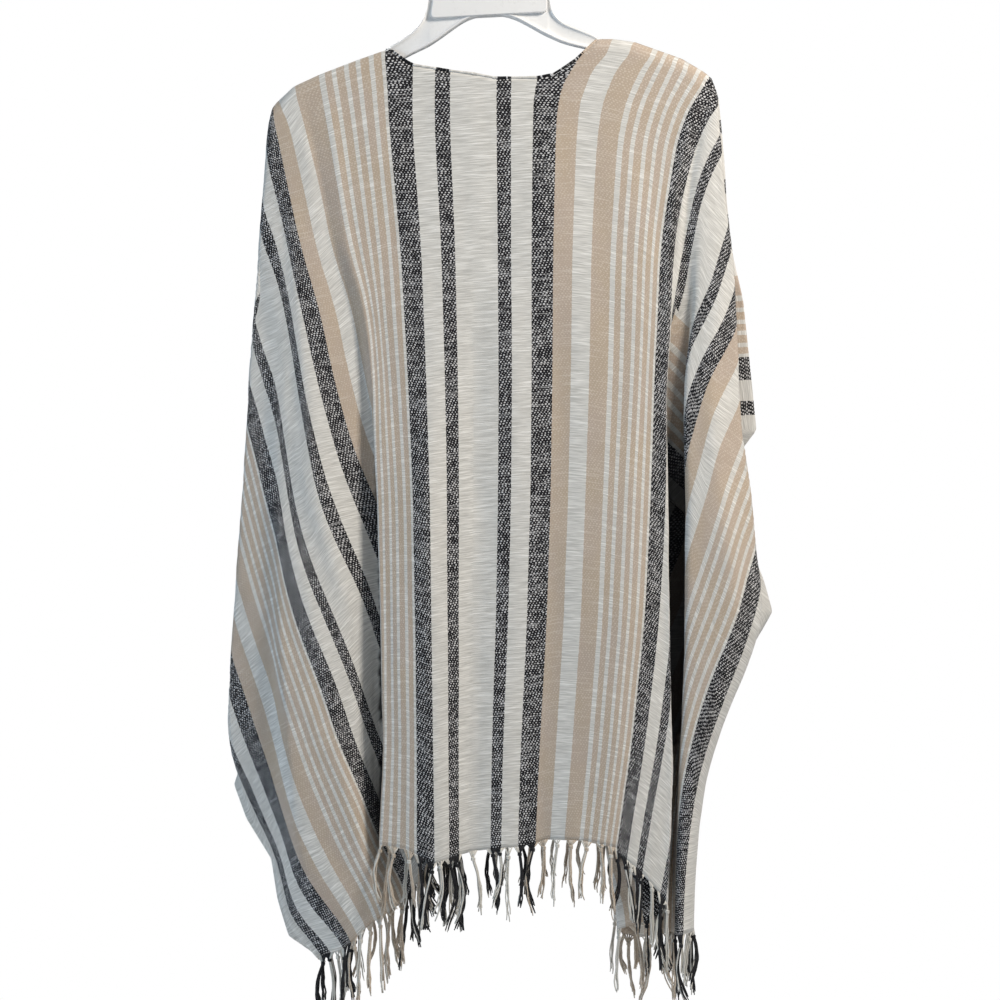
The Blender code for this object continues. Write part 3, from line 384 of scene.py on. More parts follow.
sample, _ = hang(LEFT, np.array([100.0, 400.0]), np.array([300.0, 300.0]), False)
print("two places hung:", np.round(sample, 1).tolist())

# %% [markdown]
# ## Shade in the deep folds
# Between two deep folds the photograph is nearly black, while the soft light of this scene still
# reaches in. Depth and light alone would be the better way. Here a coarse map of the mesh tells
# how far the cloth on both sides stands over each place, a point attribute keeps that, and the
# cotton blends towards black by it. It is painted shade, which stays dark from every side, so it
# is kept to the deepest grooves and away from the outline.

# %% How deep each place lies in its fold
SHADE_CELL = np.array([5.0, 12.0])      # width and height of a cell of the map, in millimetres
SHADE_CELLS = 3         # cells to each side that can stand over a fold
SHADE_START = 11.0      # a fold shallower than this keeps its full colour
SHADE_FULL = 24.0       # and one this deep has its full shade
SHADE_MARGIN = 25.0     # cloth this near to the outline shows from the side, and keeps its colour
SHADE_FADE = 15.0       # width over which the shade grows inside that margin


def fold_shade(grid):
    """From 0 on open cloth to 1 deep in a fold, for a grid of (across, depth, drop) points."""
    flat = grid[..., [0, 2]]
    column, row = np.moveaxis(((flat - flat.min(axis=(0, 1))) / SHADE_CELL).astype(int), -1, 0)
    depth = np.abs(grid[..., 1])
    highest = np.zeros((column.max() + 2 * SHADE_CELLS + 1, row.max() + 1))
    np.maximum.at(highest, (column + SHADE_CELLS, row), depth)
    left, right = ([highest[column + SHADE_CELLS + side * i, row] for i in range(1 + SHADE_CELLS)]
                   for side in (-1, 1))
    over = np.minimum(np.max(left, axis=0), np.max(right, axis=0)) - depth
    outline = np.zeros((2, row.max() + 1))
    half = (grid[..., 0] > 0).astype(int)
    np.maximum.at(outline, (half, row), np.abs(grid[..., 0]))
    inside = (outline[half, row] - np.abs(grid[..., 0]) - SHADE_MARGIN) / SHADE_FADE
    shade = np.clip((over - SHADE_START) / (SHADE_FULL - SHADE_START), 0.0, 1.0)
    return shade * np.clip(inside, 0.0, 1.0)


wall = [(-60, 0, 0), (-4, 35, 0), (0, 5, 0), (4, 35, 0), (60, 0, 0)]
print("shade between two folds 30 mm high:", fold_shade(np.array([wall], float)).round(2).tolist())

# %% [markdown]
# ## A panel of cloth
# The cloth is a grid of columns and rows on the flat cut, and its UV map is that cut in metres,
# so the stripes can be woven in the material exactly where the loom put them. Solidify gives the
# sheet its thickness, which shows at the hem and at the selvedges.

# %% Grid, UV map and thickness of a panel
CLOTH_THICKNESS = 0.8 * MM
HALF_GAP = 0.45         # back and front each stay this far from the plane between them


def mark_flat_cut(mesh, flat):
    """Writes each point's place on the flat cut, given in millimetres, as a UV map in metres."""
    order = np.zeros(len(mesh.loops), dtype=np.int32)
    mesh.loops.foreach_get("vertex_index", order)
    flat_m = (np.array(flat) + (HALF_WIDTH, 0.0)) * MM
    mesh.uv_layers.new(name="Flat cut").data.foreach_set("uv", flat_m[order].ravel())


def make_panel(name, halves, columns, starts, rows, front, seed, deeper=1.0):
    """A sheet of cloth: columns are signed places across, starts the first place down each."""
    grid = np.zeros((len(columns[0]), len(rows), 3))
    flat = np.zeros((len(columns[0]), len(rows), 2))
    lift = np.zeros((len(columns[0]), len(rows)))
    for r, share in enumerate(rows):
        across = columns[r]
        down = starts + (HALF_LENGTH - starts) * share
        flat[:, r, 0], flat[:, r, 1] = across, down
        for sign, half in halves.items():
            here = (across >= 0) if sign > 0 else (across < 0)
            if here.any():
                grid[here, r], reach = hang(half, np.abs(across[here]), down[here], front)
                lift[here, r] = crease_height(across[here], down[here], reach, seed, deeper)
    along, around = np.gradient(grid, axis=1), np.gradient(grid, axis=0)
    normal = np.cross(along, around)
    normal /= np.maximum(np.linalg.norm(normal, axis=2, keepdims=True), 1e-6)
    grid += normal * lift[..., None]
    if not front:
        grid[..., 1] = np.maximum(grid[..., 1], HALF_GAP)
    else:
        grid[..., 1] = np.minimum(grid[..., 1], -HALF_GAP)
    shade = fold_shade(grid)
    verts = [(x * MM, y * MM, (SHOULDER_Z - z) * MM) for x, y, z in grid.reshape(-1, 3)]
    count = len(rows)
    faces = [(c * count + r, (c + 1) * count + r, (c + 1) * count + r + 1, c * count + r + 1)
             for c in range(len(columns[0]) - 1) for r in range(count - 1)]
    mesh = bpy.data.meshes.new(name)
    mesh.from_pydata(verts, [], faces)
    mark_flat_cut(mesh, flat.reshape(-1, 2))
    mesh.attributes.new("Fold shade", "FLOAT", "POINT").data.foreach_set("value", shade.ravel())
    mesh.polygons.foreach_set("use_smooth", [True] * len(mesh.polygons))
    mesh.update()
    panel = bpy.data.objects.new(name, mesh)
    bpy.context.scene.collection.objects.link(panel)
    solid = panel.modifiers.new("Cloth thickness", "SOLIDIFY")
    solid.thickness, solid.offset = CLOTH_THICKNESS, 0.0
    print(name, "columns", len(columns[0]), "rows", count, "triangles about", 4 * len(faces))
    return panel, grid


# %% Weave the back panel
back_columns = np.linspace(-HALF_WIDTH, HALF_WIDTH, 269)
neck = np.array(BACK_NECK, float)
starts = np.zeros_like(back_columns)
for i, across in enumerate(back_columns):
    if neck[0, 0] < across < neck[-1, 0]:
        top, fall = (LEFT if across >= 0 else RIGHT).straight(abs(across))
        starts[i] = max(0.0, (np.interp(across, neck[:, 0], neck[:, 1]) - top) / fall)
back_rows = np.concatenate([np.linspace(0, 0.03, 8)[:-1], np.linspace(0.03, 1.0, 156)])
back_panel, back_grid = make_panel("Striped_back", {1: LEFT, -1: RIGHT}, [back_columns] * len(back_rows),
                                   starts, back_rows, False, 0.0)
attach(back_panel, "root")
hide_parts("back_panel")

# %% [markdown]
# ## The two fronts
# Each front is the same cloth with the middle cut away: its inner edge starts beside the neck and
# slants down to the middle. The columns near that edge follow it, and the rest stay on the grid.

# %% Weave the fronts
FRONT_FIXED = 110.0     # columns further out than this stay straight
FRONT_SEED = 40.0       # so that the fronts get other creases than the back
FRONT_CREASES = 2.4     # height of their creases against the back's


def front_edge(half, down):
    """Place across of a front's inner edge, for a place down."""
    across = 60.0
    for _ in range(30):
        top, fall = half.straight(across)
        across = float(np.interp(top + fall * down, half.drops, half.cloth[0]))
    return across


front_rows = np.concatenate([np.linspace(0, 0.03, 6)[:-1], np.linspace(0.03, 1.0, 124)])
fronts, columns_of = {}, {}
for name, sign, half in (("Striped_front_left", 1, LEFT_FRONT), ("Striped_front_right", -1, RIGHT_FRONT)):
    outer = np.linspace(FRONT_FIXED, HALF_WIDTH, 113)
    columns = []
    for share in front_rows:
        edge = front_edge(half, share * HALF_LENGTH)
        inner = np.linspace(edge, FRONT_FIXED, 24)[:-1]
        columns.append(sign * np.concatenate([inner, outer]))
    fronts[sign] = make_panel(name, {sign: half}, columns, np.zeros(len(columns[0])), front_rows, True,
                              FRONT_SEED + sign, FRONT_CREASES)
    columns_of[sign] = columns[-1]
    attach(fronts[sign][0], "root")
    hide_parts("front_left" if sign > 0 else "front_right")

# %% [markdown]
# ## Helpers for shader nodes
# Every finish below is built from small node groups. A group here gives only colours, masks or
# heights, while the Principled BSDF stays in the material, so that an export can read it.

# %% Short ways to add nodes
def group(name, inputs, outputs):
    """A new shader node group. Rows of inputs and outputs: socket name, kind, start value."""
    tree = bpy.data.node_groups.new(name, "ShaderNodeTree")
    for row, way in [(row, "INPUT") for row in inputs] + [(row, "OUTPUT") for row in outputs]:
        socket = tree.interface.new_socket(row[0], in_out=way, socket_type="NodeSocket" + row[1])
        if len(row) > 2:
            socket.default_value = row[2]
    return tree, tree.nodes.new("NodeGroupInput"), tree.nodes.new("NodeGroupOutput")


def add(tree, kind, inputs=(), **values):
    """A node of one kind, with its settings and its inputs; an input is a value or a socket."""
    node = tree.nodes.new(kind)
    for key, value in values.items():
        setattr(node, key, value)
    for key, value in dict(inputs).items():
        if isinstance(value, bpy.types.NodeSocket):
            tree.links.new(value, node.inputs[key])
        else:
            node.inputs[key].default_value = value
    return node


def maths(tree, operation, a, b=0.0, c=0.0):
    """The result of one Math node."""
    return add(tree, "ShaderNodeMath", {0: a, 1: b, 2: c}, operation=operation).outputs[0]


def blend(tree, share, a, b):
    """A colour between a and b."""
    node = tree.nodes.new("ShaderNodeMix")
    node.data_type = "RGBA"
    for index, value in ((0, share), (6, a), (7, b)):
        if isinstance(value, bpy.types.NodeSocket):
            tree.links.new(value, node.inputs[index])
        else:
            node.inputs[index].default_value = value
    return node.outputs[2]


def srgb(red, green, blue):
    """A screen colour, 0 to 255, as the linear colour that a shader takes."""
    return tuple((c / 255 / 12.92 if c < 11 else ((c / 255 + 0.055) / 1.055) ** 2.4)
                 for c in (red, green, blue)) + (1.0,)


print("a photographed white of 210 is", round(srgb(210, 210, 210)[0], 3), "in linear light")

# %% [markdown]
# ## The striped warp
# The stripes are warp threads of different colours, set up once on the loom and then repeated
# across it. They could be painted on as an image, but a colour ramp over the place across the
# cloth does the same and stays sharp. The repeat is 287 mm: beige, white, beige, five thin pairs,
# then black stripes of two widths between whites. Red in the ramp means black yarn, green beige.

# %% Stripe group
REPEAT_START = 85.0 * PX
REPEAT_PX = 297.0       # one repeat in photograph pixels
REPEAT = REPEAT_PX * PX
STRIPES = [("beige", 20.5), ("white", 41.5), ("beige", 62.5)]     # name, end in photograph pixels
for pair in range(5):
    STRIPES += [("white", 67.5 + 12.3 * pair), ("beige", 74.8 + 12.3 * pair)]
STRIPES += [("white", 127), ("black", 151), ("white", 173), ("black", 188), ("white", 236),
            ("black", 251), ("white", 273), ("black", REPEAT_PX)]
YARN_CODE = {"black": (1, 0, 0, 1), "beige": (0, 1, 0, 1), "white": (0, 0, 0, 1)}


def stripe_group():
    """From places on the cut, in millimetres, to masks of the black and the beige yarn."""
    tree, start, end = group("Striped warp", [("Across", "Float"), ("Down", "Float"),
                                              ("Wander", "Float", 0.35)],
                             [("Black", "Float"), ("Beige", "Float")])
    where = add(tree, "ShaderNodeCombineXYZ", {0: maths(tree, "MULTIPLY", start.outputs["Across"], 0.9),
                                              1: maths(tree, "MULTIPLY", start.outputs["Down"], 0.45)})
    ragged = add(tree, "ShaderNodeTexNoise", {"Vector": where.outputs[0], "Scale": 1.0, "Detail": 1.0})
    jitter = maths(tree, "MULTIPLY", maths(tree, "SUBTRACT", ragged.outputs[0], 0.5), start.outputs["Wander"])
    place = maths(tree, "ADD", start.outputs["Across"], maths(tree, "MULTIPLY", jitter, 4.0))
    turn = maths(tree, "DIVIDE", maths(tree, "SUBTRACT", place, REPEAT_START), REPEAT)
    ramp = add(tree, "ShaderNodeValToRGB", {0: maths(tree, "FRACT", turn)})
    ramp.color_ramp.interpolation = "CONSTANT"
    stops = ramp.color_ramp.elements
    begin = 0.0
    for number, (yarn, finish) in enumerate(STRIPES):
        stop = stops[number] if number < 2 else stops.new(begin / REPEAT_PX)
        stop.position, stop.color = begin / REPEAT_PX, YARN_CODE[yarn]
        begin = finish
    split = add(tree, "ShaderNodeSeparateColor", {0: ramp.outputs[0]})
    tree.links.new(split.outputs[0], end.inputs["Black"])
    tree.links.new(split.outputs[1], end.inputs["Beige"])
    return tree


stripes = stripe_group()
print("stripes in one repeat:", len(STRIPES), "over", round(REPEAT, 1), "mm")

# %% [markdown]
# ## Twill and plain weave
# In the coloured stripes the white weft comes up between the warp threads in short floats, and
# each row starts a little further along than the one below, which makes the slanting lines of a
# twill. Rows of dashes over the cut show the same. The white ground is a plain weave, with
# thicker slub yarns here and there.

# %% Twill group
def twill_group():
    """Mask of the white weft floats, at places in millimetres."""
    tree, start, end = group("Twill floats", [
        ("Across", "Float"), ("Down", "Float"), ("Row", "Float", 2.2), ("Float length", "Float", 4.2),
        ("Step", "Float", 0.31), ("Cover", "Float", 0.5)], [("Weft", "Float"), ("Height", "Float")])
    across, down = start.outputs["Across"], start.outputs["Down"]
    where = add(tree, "ShaderNodeCombineXYZ", {0: maths(tree, "MULTIPLY", across, 0.07),
                                              1: maths(tree, "MULTIPLY", down, 0.05)})
    drift = add(tree, "ShaderNodeTexNoise", {"Vector": where.outputs[0], "Scale": 1.0, "Detail": 3.0})
    row = maths(tree, "ADD", maths(tree, "DIVIDE", down, start.outputs["Row"]),
                maths(tree, "MULTIPLY", drift.outputs[0], 3.0))
    number = maths(tree, "FLOOR", row)
    own = add(tree, "ShaderNodeTexWhiteNoise", {"W": number}, noise_dimensions="1D")
    along = maths(tree, "ADD", maths(tree, "DIVIDE", across, start.outputs["Float length"]),
                  maths(tree, "MULTIPLY", number, start.outputs["Step"]))
    along = maths(tree, "ADD", along, maths(tree, "MULTIPLY", own.outputs["Value"], 0.3))
    cell = add(tree, "ShaderNodeCombineXYZ", {0: maths(tree, "FLOOR", along), 1: number})
    mood = add(tree, "ShaderNodeTexWhiteNoise", {"Vector": cell.outputs[0]}, noise_dimensions="2D")
    middle = maths(tree, "SUBTRACT", 1.0, maths(tree, "ABSOLUTE", maths(
        tree, "MULTIPLY_ADD", maths(tree, "FRACT", along), 2.0, -1.0)))
    thick = maths(tree, "SINE", maths(tree, "MULTIPLY", maths(tree, "FRACT", row), math.pi))
    height = maths(tree, "MULTIPLY", middle, thick)
    height = maths(tree, "ADD", height, maths(tree, "MULTIPLY", mood.outputs["Value"], 0.45))
    height = maths(tree, "ADD", height, maths(tree, "MULTIPLY", drift.outputs[0], 0.5))
    height = maths(tree, "ADD", height, maths(tree, "SUBTRACT", start.outputs["Cover"], 1.45))
    sharp = add(tree, "ShaderNodeMapRange", {0: height, 1: -0.14, 2: 0.16})
    tree.links.new(sharp.outputs[0], end.inputs["Weft"])
    tree.links.new(sharp.outputs[0], end.inputs["Height"])
    return tree


twill = twill_group()
print("twill group sockets:", [item.name for item in twill.interface.items_tree])


# %% Slub group
def slub_group():
    """Mask of the thicker light weft yarns of the plain ground, and the ground's height."""
    tree, start, end = group("Slub yarns", [("Across", "Float"), ("Down", "Float"),
                                            ("Length", "Float", 26.0), ("Spacing", "Float", 1.2)],
                             [("Yarn", "Float"), ("Height", "Float"), ("Cloudy", "Float"),
                              ("Slub", "Float")])
    across, down = start.outputs["Across"], start.outputs["Down"]
    long_way = maths(tree, "DIVIDE", across, start.outputs["Length"])
    rows = add(tree, "ShaderNodeCombineXYZ", {
        0: long_way, 1: maths(tree, "DIVIDE", down, start.outputs["Spacing"])})
    streak = add(tree, "ShaderNodeTexNoise", {"Vector": rows.outputs[0], "Scale": 1.0, "Detail": 2.0,
                                              "Roughness": 0.6})
    yarn = add(tree, "ShaderNodeMapRange", {0: streak.outputs[0], 1: 0.36, 2: 0.7})
    threads = maths(tree, "MULTIPLY", maths(tree, "SINE", maths(tree, "MULTIPLY", down, math.tau / 1.6)),
                    maths(tree, "SINE", maths(tree, "MULTIPLY", across, math.tau / 1.6)))
    height = maths(tree, "ADD", maths(tree, "MULTIPLY", streak.outputs[0], 1.6),
                   maths(tree, "MULTIPLY", threads, 0.2))
    cloud = add(tree, "ShaderNodeTexNoise", {"Vector": add(tree, "ShaderNodeCombineXYZ", {
        0: maths(tree, "DIVIDE", across, 40.0), 1: maths(tree, "DIVIDE", down, 70.0)}).outputs[0],
        "Scale": 1.0, "Detail": 3.0})
    row = maths(tree, "ADD", maths(tree, "DIVIDE", down, start.outputs["Spacing"]),
                maths(tree, "MULTIPLY", cloud.outputs[0], 1.2))
    number = maths(tree, "FLOOR", row)
    own = add(tree, "ShaderNodeTexWhiteNoise", {"W": number}, noise_dimensions="1D")
    along = maths(tree, "ADD", maths(tree, "MULTIPLY", long_way, 0.9),
                  maths(tree, "MULTIPLY", own.outputs["Value"], 9.0))
    cell = add(tree, "ShaderNodeCombineXYZ", {0: maths(tree, "FLOOR", along), 1: number})
    chance = add(tree, "ShaderNodeTexWhiteNoise", {"Vector": cell.outputs[0]}, noise_dimensions="2D")
    bold = add(tree, "ShaderNodeMapRange", {0: chance.outputs["Value"], 1: 0.70, 2: 0.95})
    shape = maths(tree, "MULTIPLY",
                  maths(tree, "SINE", maths(tree, "MULTIPLY", maths(tree, "FRACT", row), math.pi)),
                  maths(tree, "SINE", maths(tree, "MULTIPLY", maths(tree, "FRACT", along), math.pi)))
    slub = maths(tree, "MULTIPLY", bold.outputs[0], shape)
    tree.links.new(yarn.outputs[0], end.inputs["Yarn"])
    tree.links.new(maths(tree, "ADD", height, maths(tree, "MULTIPLY", slub, 0.8)), end.inputs["Height"])
    tree.links.new(cloud.outputs[0], end.inputs["Cloudy"])
    tree.links.new(slub, end.inputs["Slub"])
    return tree


slubs = slub_group()
print("node groups:", [g.name for g in bpy.data.node_groups])

# %% [markdown]
# ## The cloth's finish
# One material serves every panel: the stripes choose the yarn, the weave mixes the white weft
# into it, and both raise a fine bump. Cotton has no gloss, so the roughness is high, with a little
# sheen for the fuzz that catches the light at the folds.

# %% Cotton material
WHITE_YARN = srgb(240, 238, 232)
WHITE_SHADE = srgb(200, 198, 192)
WHITE_SLUB = srgb(254, 252, 247)
FOLD_DARKENS = 0.9     # share of its colour that cloth loses deep in a fold
BEIGE_YARN = srgb(194, 177, 161)
BEIGE_GOLD = srgb(195, 177, 156)
BEIGE_LIGHT = srgb(232, 223, 211)
BLACK_YARN = srgb(20, 20, 24)
BLACK_WEFT = srgb(222, 221, 221)


def use_group(tree, made, inputs):
    """A group node with its inputs set by name."""
    return add(tree, "ShaderNodeGroup", inputs, node_tree=made)


def new_finish(name):
    """A new material, with its node tree and its Principled BSDF."""
    material = bpy.data.materials.new(name)
    material.use_nodes = True
    return material, material.node_tree, material.node_tree.nodes["Principled BSDF"]


def cloth_material(name):
    """Striped woven cotton over the UV map of the flat cut."""
    material, tree, shader = new_finish(name)
    cut = add(tree, "ShaderNodeUVMap", uv_map="Flat cut")
    place = add(tree, "ShaderNodeSeparateXYZ", {0: cut.outputs[0]})
    across = maths(tree, "MULTIPLY_ADD", place.outputs[0], -1000.0, HALF_WIDTH)
    down = maths(tree, "MULTIPLY", place.outputs[1], 1000.0)
    here = {"Across": across, "Down": down}
    warp = use_group(tree, stripes, {**here, "Wander": 0.3})
    weft = use_group(tree, twill, {**here, "Row": 2.0, "Float length": 3.6, "Step": 0.34, "Cover": 0.40})
    plain = use_group(tree, slubs, {**here, "Length": 24.0, "Spacing": 1.15})
    ground = blend(tree, plain.outputs["Yarn"], WHITE_SHADE, WHITE_YARN)
    ground = blend(tree, plain.outputs["Slub"], ground, WHITE_SLUB)
    cloudy = add(tree, "ShaderNodeMapRange", {0: plain.outputs["Cloudy"], 1: 0.4, 2: 0.62})
    beige = blend(tree, cloudy.outputs[0], BEIGE_YARN, BEIGE_GOLD)
    light = maths(tree, "MAXIMUM", maths(tree, "MULTIPLY", weft.outputs["Weft"], 0.42),
                  maths(tree, "MULTIPLY", plain.outputs["Slub"], 0.55))
    beige = blend(tree, light, beige, BEIGE_LIGHT)
    shown = maths(tree, "MAXIMUM", weft.outputs["Weft"], maths(tree, "MULTIPLY", plain.outputs["Slub"], 0.5))
    black = blend(tree, shown, BLACK_YARN, BLACK_WEFT)
    colour = blend(tree, warp.outputs["Beige"], ground, beige)
    colour = blend(tree, warp.outputs["Black"], colour, black)
    deep = add(tree, "ShaderNodeAttribute", attribute_name="Fold shade")
    colour = blend(tree, maths(tree, "MULTIPLY", deep.outputs["Fac"], FOLD_DARKENS), colour, BLACK_YARN)
    tree.links.new(colour, shader.inputs["Base Color"])
    coloured = maths(tree, "MAXIMUM", warp.outputs["Beige"], warp.outputs["Black"])
    height = add(tree, "ShaderNodeMix", {0: coloured, 2: plain.outputs["Height"], 3: weft.outputs["Height"]})
    raised = add(tree, "ShaderNodeBump", {"Height": height.outputs[0], "Strength": 0.35,
                                          "Distance": 0.5 * MM})
    tree.links.new(raised.outputs[0], shader.inputs["Normal"])
    rough = add(tree, "ShaderNodeMapRange", {0: plain.outputs["Yarn"], 3: 0.93, 4: 0.84})
    tree.links.new(rough.outputs[0], shader.inputs["Roughness"])
    shader.inputs["Specular IOR Level"].default_value = 0.25
    shader.inputs["Sheen Weight"].default_value = 0.15
    shader.inputs["Sheen Roughness"].default_value = 0.5
    return material


cotton = cloth_material("Striped woven cotton")
for panel in (back_panel, fronts[1][0], fronts[-1][0]):
    panel.data.materials.append(cotton)
print("cotton nodes:", len(cotton.node_tree.nodes))

# %% [markdown]
# ## The rolled neck edge
# The raw edge of the neck and of the front opening is rolled over and stitched, which leaves a
# thin round lip. It is a tube swept along the edge. Each ring keeps the place on the cut that it
# was rolled from, so a black stripe stays black as it passes over the lip.

# %% Tube along a line of points
def sweep(verts, faces, flat, line, radii, sides, place):
    """Adds a tube along a line; place gives a place on the cut for each point of the line."""
    line = np.array(line, float)
    ahead = np.gradient(line, axis=0)
    ahead /= np.maximum(np.linalg.norm(ahead, axis=1, keepdims=True), 1e-9)
    side = np.cross(ahead, (0.0, 1.0, 0.0))
    short = np.linalg.norm(side, axis=1) < 0.2
    side[short] = np.cross(ahead[short], (1.0, 0.0, 0.0))
    side /= np.linalg.norm(side, axis=1, keepdims=True)
    up = np.cross(side, ahead)
    first = len(verts)
    for i, point in enumerate(line):
        for k in range(sides):
            turn = math.tau * k / sides
            verts.append(point + radii[i] * (math.cos(turn) * side[i] + math.sin(turn) * up[i]))
            flat.append(place[i])
    for i in range(len(line) - 1):
        a, b = first + sides * i, first + sides * (i + 1)
        faces += [(a + k, a + (k + 1) % sides, b + (k + 1) % sides, b + k) for k in range(sides)]
    faces.append(tuple(first + sides - 1 - k for k in range(sides)))
    faces.append(tuple(len(verts) - sides + k for k in range(sides)))


def mesh_piece(name, verts, faces, flat, material, smooth=True):
    """A piece from points in metres, with its UV map of the flat cut, turned the right way out."""
    mesh = bpy.data.meshes.new(name)
    mesh.from_pydata([tuple(v) for v in verts], [], faces)
    if flat:
        mark_flat_cut(mesh, flat)
    build = bmesh.new()
    build.from_mesh(mesh)
    bmesh.ops.recalc_face_normals(build, faces=build.faces)
    build.to_mesh(mesh)
    build.free()
    mesh.polygons.foreach_set("use_smooth", [smooth] * len(mesh.polygons))
    mesh.materials.append(material)
    made = bpy.data.objects.new(name, mesh)
    bpy.context.scene.collection.objects.link(made)
    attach(made, "root")
    return made


def to_metres(points):
    """Across, depth and drop in millimetres as places in the frame."""
    points = np.array(points, float)
    return np.stack([points[:, 0] * MM, points[:, 1] * MM, (SHOULDER_Z - points[:, 2]) * MM], axis=1)


print("a lip point in the frame:", to_metres([(0.0, 0.0, 31.0)])[0].round(3).tolist())

# %% Roll the neck edge
LIP_RADIUS = 1.3
LIP_INSIDE = 1.4        # the lip lies this far inside the neck's cut
LIP_BESIDE = 1.2        # and this far beside a front's inner edge
NECK_MIDDLE = np.array([-18.0, 5.0, -60.0])     # a place above the neck, towards which it is rolled
at_neck = np.nonzero((back_columns > neck[0, 0] - 1.0) & (back_columns < neck[-1, 0] + 1.0))[0]
lip = back_grid[at_neck, 0].copy()
inward = NECK_MIDDLE - lip
lip += inward / np.linalg.norm(inward, axis=1, keepdims=True) * LIP_INSIDE
lip_place = np.stack([back_columns[at_neck], starts[at_neck]], axis=1)
edge_lines, edge_places = {}, {}
for sign, (panel, grid) in fronts.items():
    edge_lines[sign] = grid[0, 1:] + np.array([-sign * LIP_BESIDE, 0.0, 0.0])
    half = LEFT_FRONT if sign > 0 else RIGHT_FRONT
    edge_places[sign] = np.array([(sign * front_edge(half, share * HALF_LENGTH), share * HALF_LENGTH)
                                  for share in front_rows[1:]])
lip_line = np.concatenate([edge_lines[-1][::-1], lip, edge_lines[1]])
lip_flat = np.concatenate([edge_places[-1][::-1], lip_place, edge_places[1]])
lip_radii = [LIP_RADIUS * MM * (1.0 + 0.12 * math.sin(0.9 * i) + 0.08 * math.sin(2.3 * i))
             for i in range(len(lip_line))]
verts, faces, flat = [], [], []
sweep(verts, faces, flat, to_metres(lip_line), lip_radii, 8, lip_flat)
neck_lip = mesh_piece("Rolled_neck_edge", verts, faces, flat, cotton)
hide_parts("neck_edge")
print("neck edge points:", len(lip_line))

# %% [markdown]
# ## The knotted fringe
# At the hem the warp threads are left long. They are gathered in small bunches, knotted close to
# the cloth and cut, so every tassel has the colours of the stripe above it. A particle system
# could scatter hair there, but it knows nothing of stripes or knots. Here each bunch is a few
# thin yarns that run from their own places on the hem, through a knot, and hang loose below it.

# %% Where the bunches are
THIN_STRIPES = (62.5, 84.0, 106.0, 127.0)   # the five thin pairs share three bunches between these
NARROW_WHITE = 40       # a white stripe narrower than this has a thinner bunch
BUNCHES = {  # kind of stripe: places of its bunches as shares of its width, yarns in each
    "black": ((0.14, 0.86), 8),
    "beige": ((0.5,), 6),
    "white": ((0.5,), 5),
}


def bunch_places():
    """Places across the cloth of all bunches in one panel's width, with the number of yarns."""
    merged, begin = [], 0.0
    for yarn, finish in STRIPES:
        if yarn != "black" and THIN_STRIPES[0] < finish <= THIN_STRIPES[-1]:
            begin = finish
            continue
        merged.append((yarn, begin, finish))
        begin = finish
    merged += [("beige", *ends) for ends in zip(THIN_STRIPES[:-1], THIN_STRIPES[1:])]
    places = []
    for turn in range(-3, 3):
        for yarn, begin, finish in merged:
            shares, yarns = BUNCHES[yarn]
            if yarn == "white" and finish - begin < NARROW_WHITE:
                shares, yarns = (0.5,), 3
            for share in shares:
                across = -(REPEAT_START + PX * (turn * REPEAT_PX + begin + (finish - begin) * share))
                places.append((across, yarns))
    return sorted((a, n) for a, n in places if abs(a) < HALF_WIDTH - 3.0)


bunches = bunch_places()
print("bunches across the whole width:", len(bunches))


# %% Knot the fringe of a panel
BACK_FRINGE, FRONT_FRINGE = 62.0, 56.0      # length of the longest yarns
BARE_MIDDLE = 14.0      # no bunch of a front nearer to the middle than this


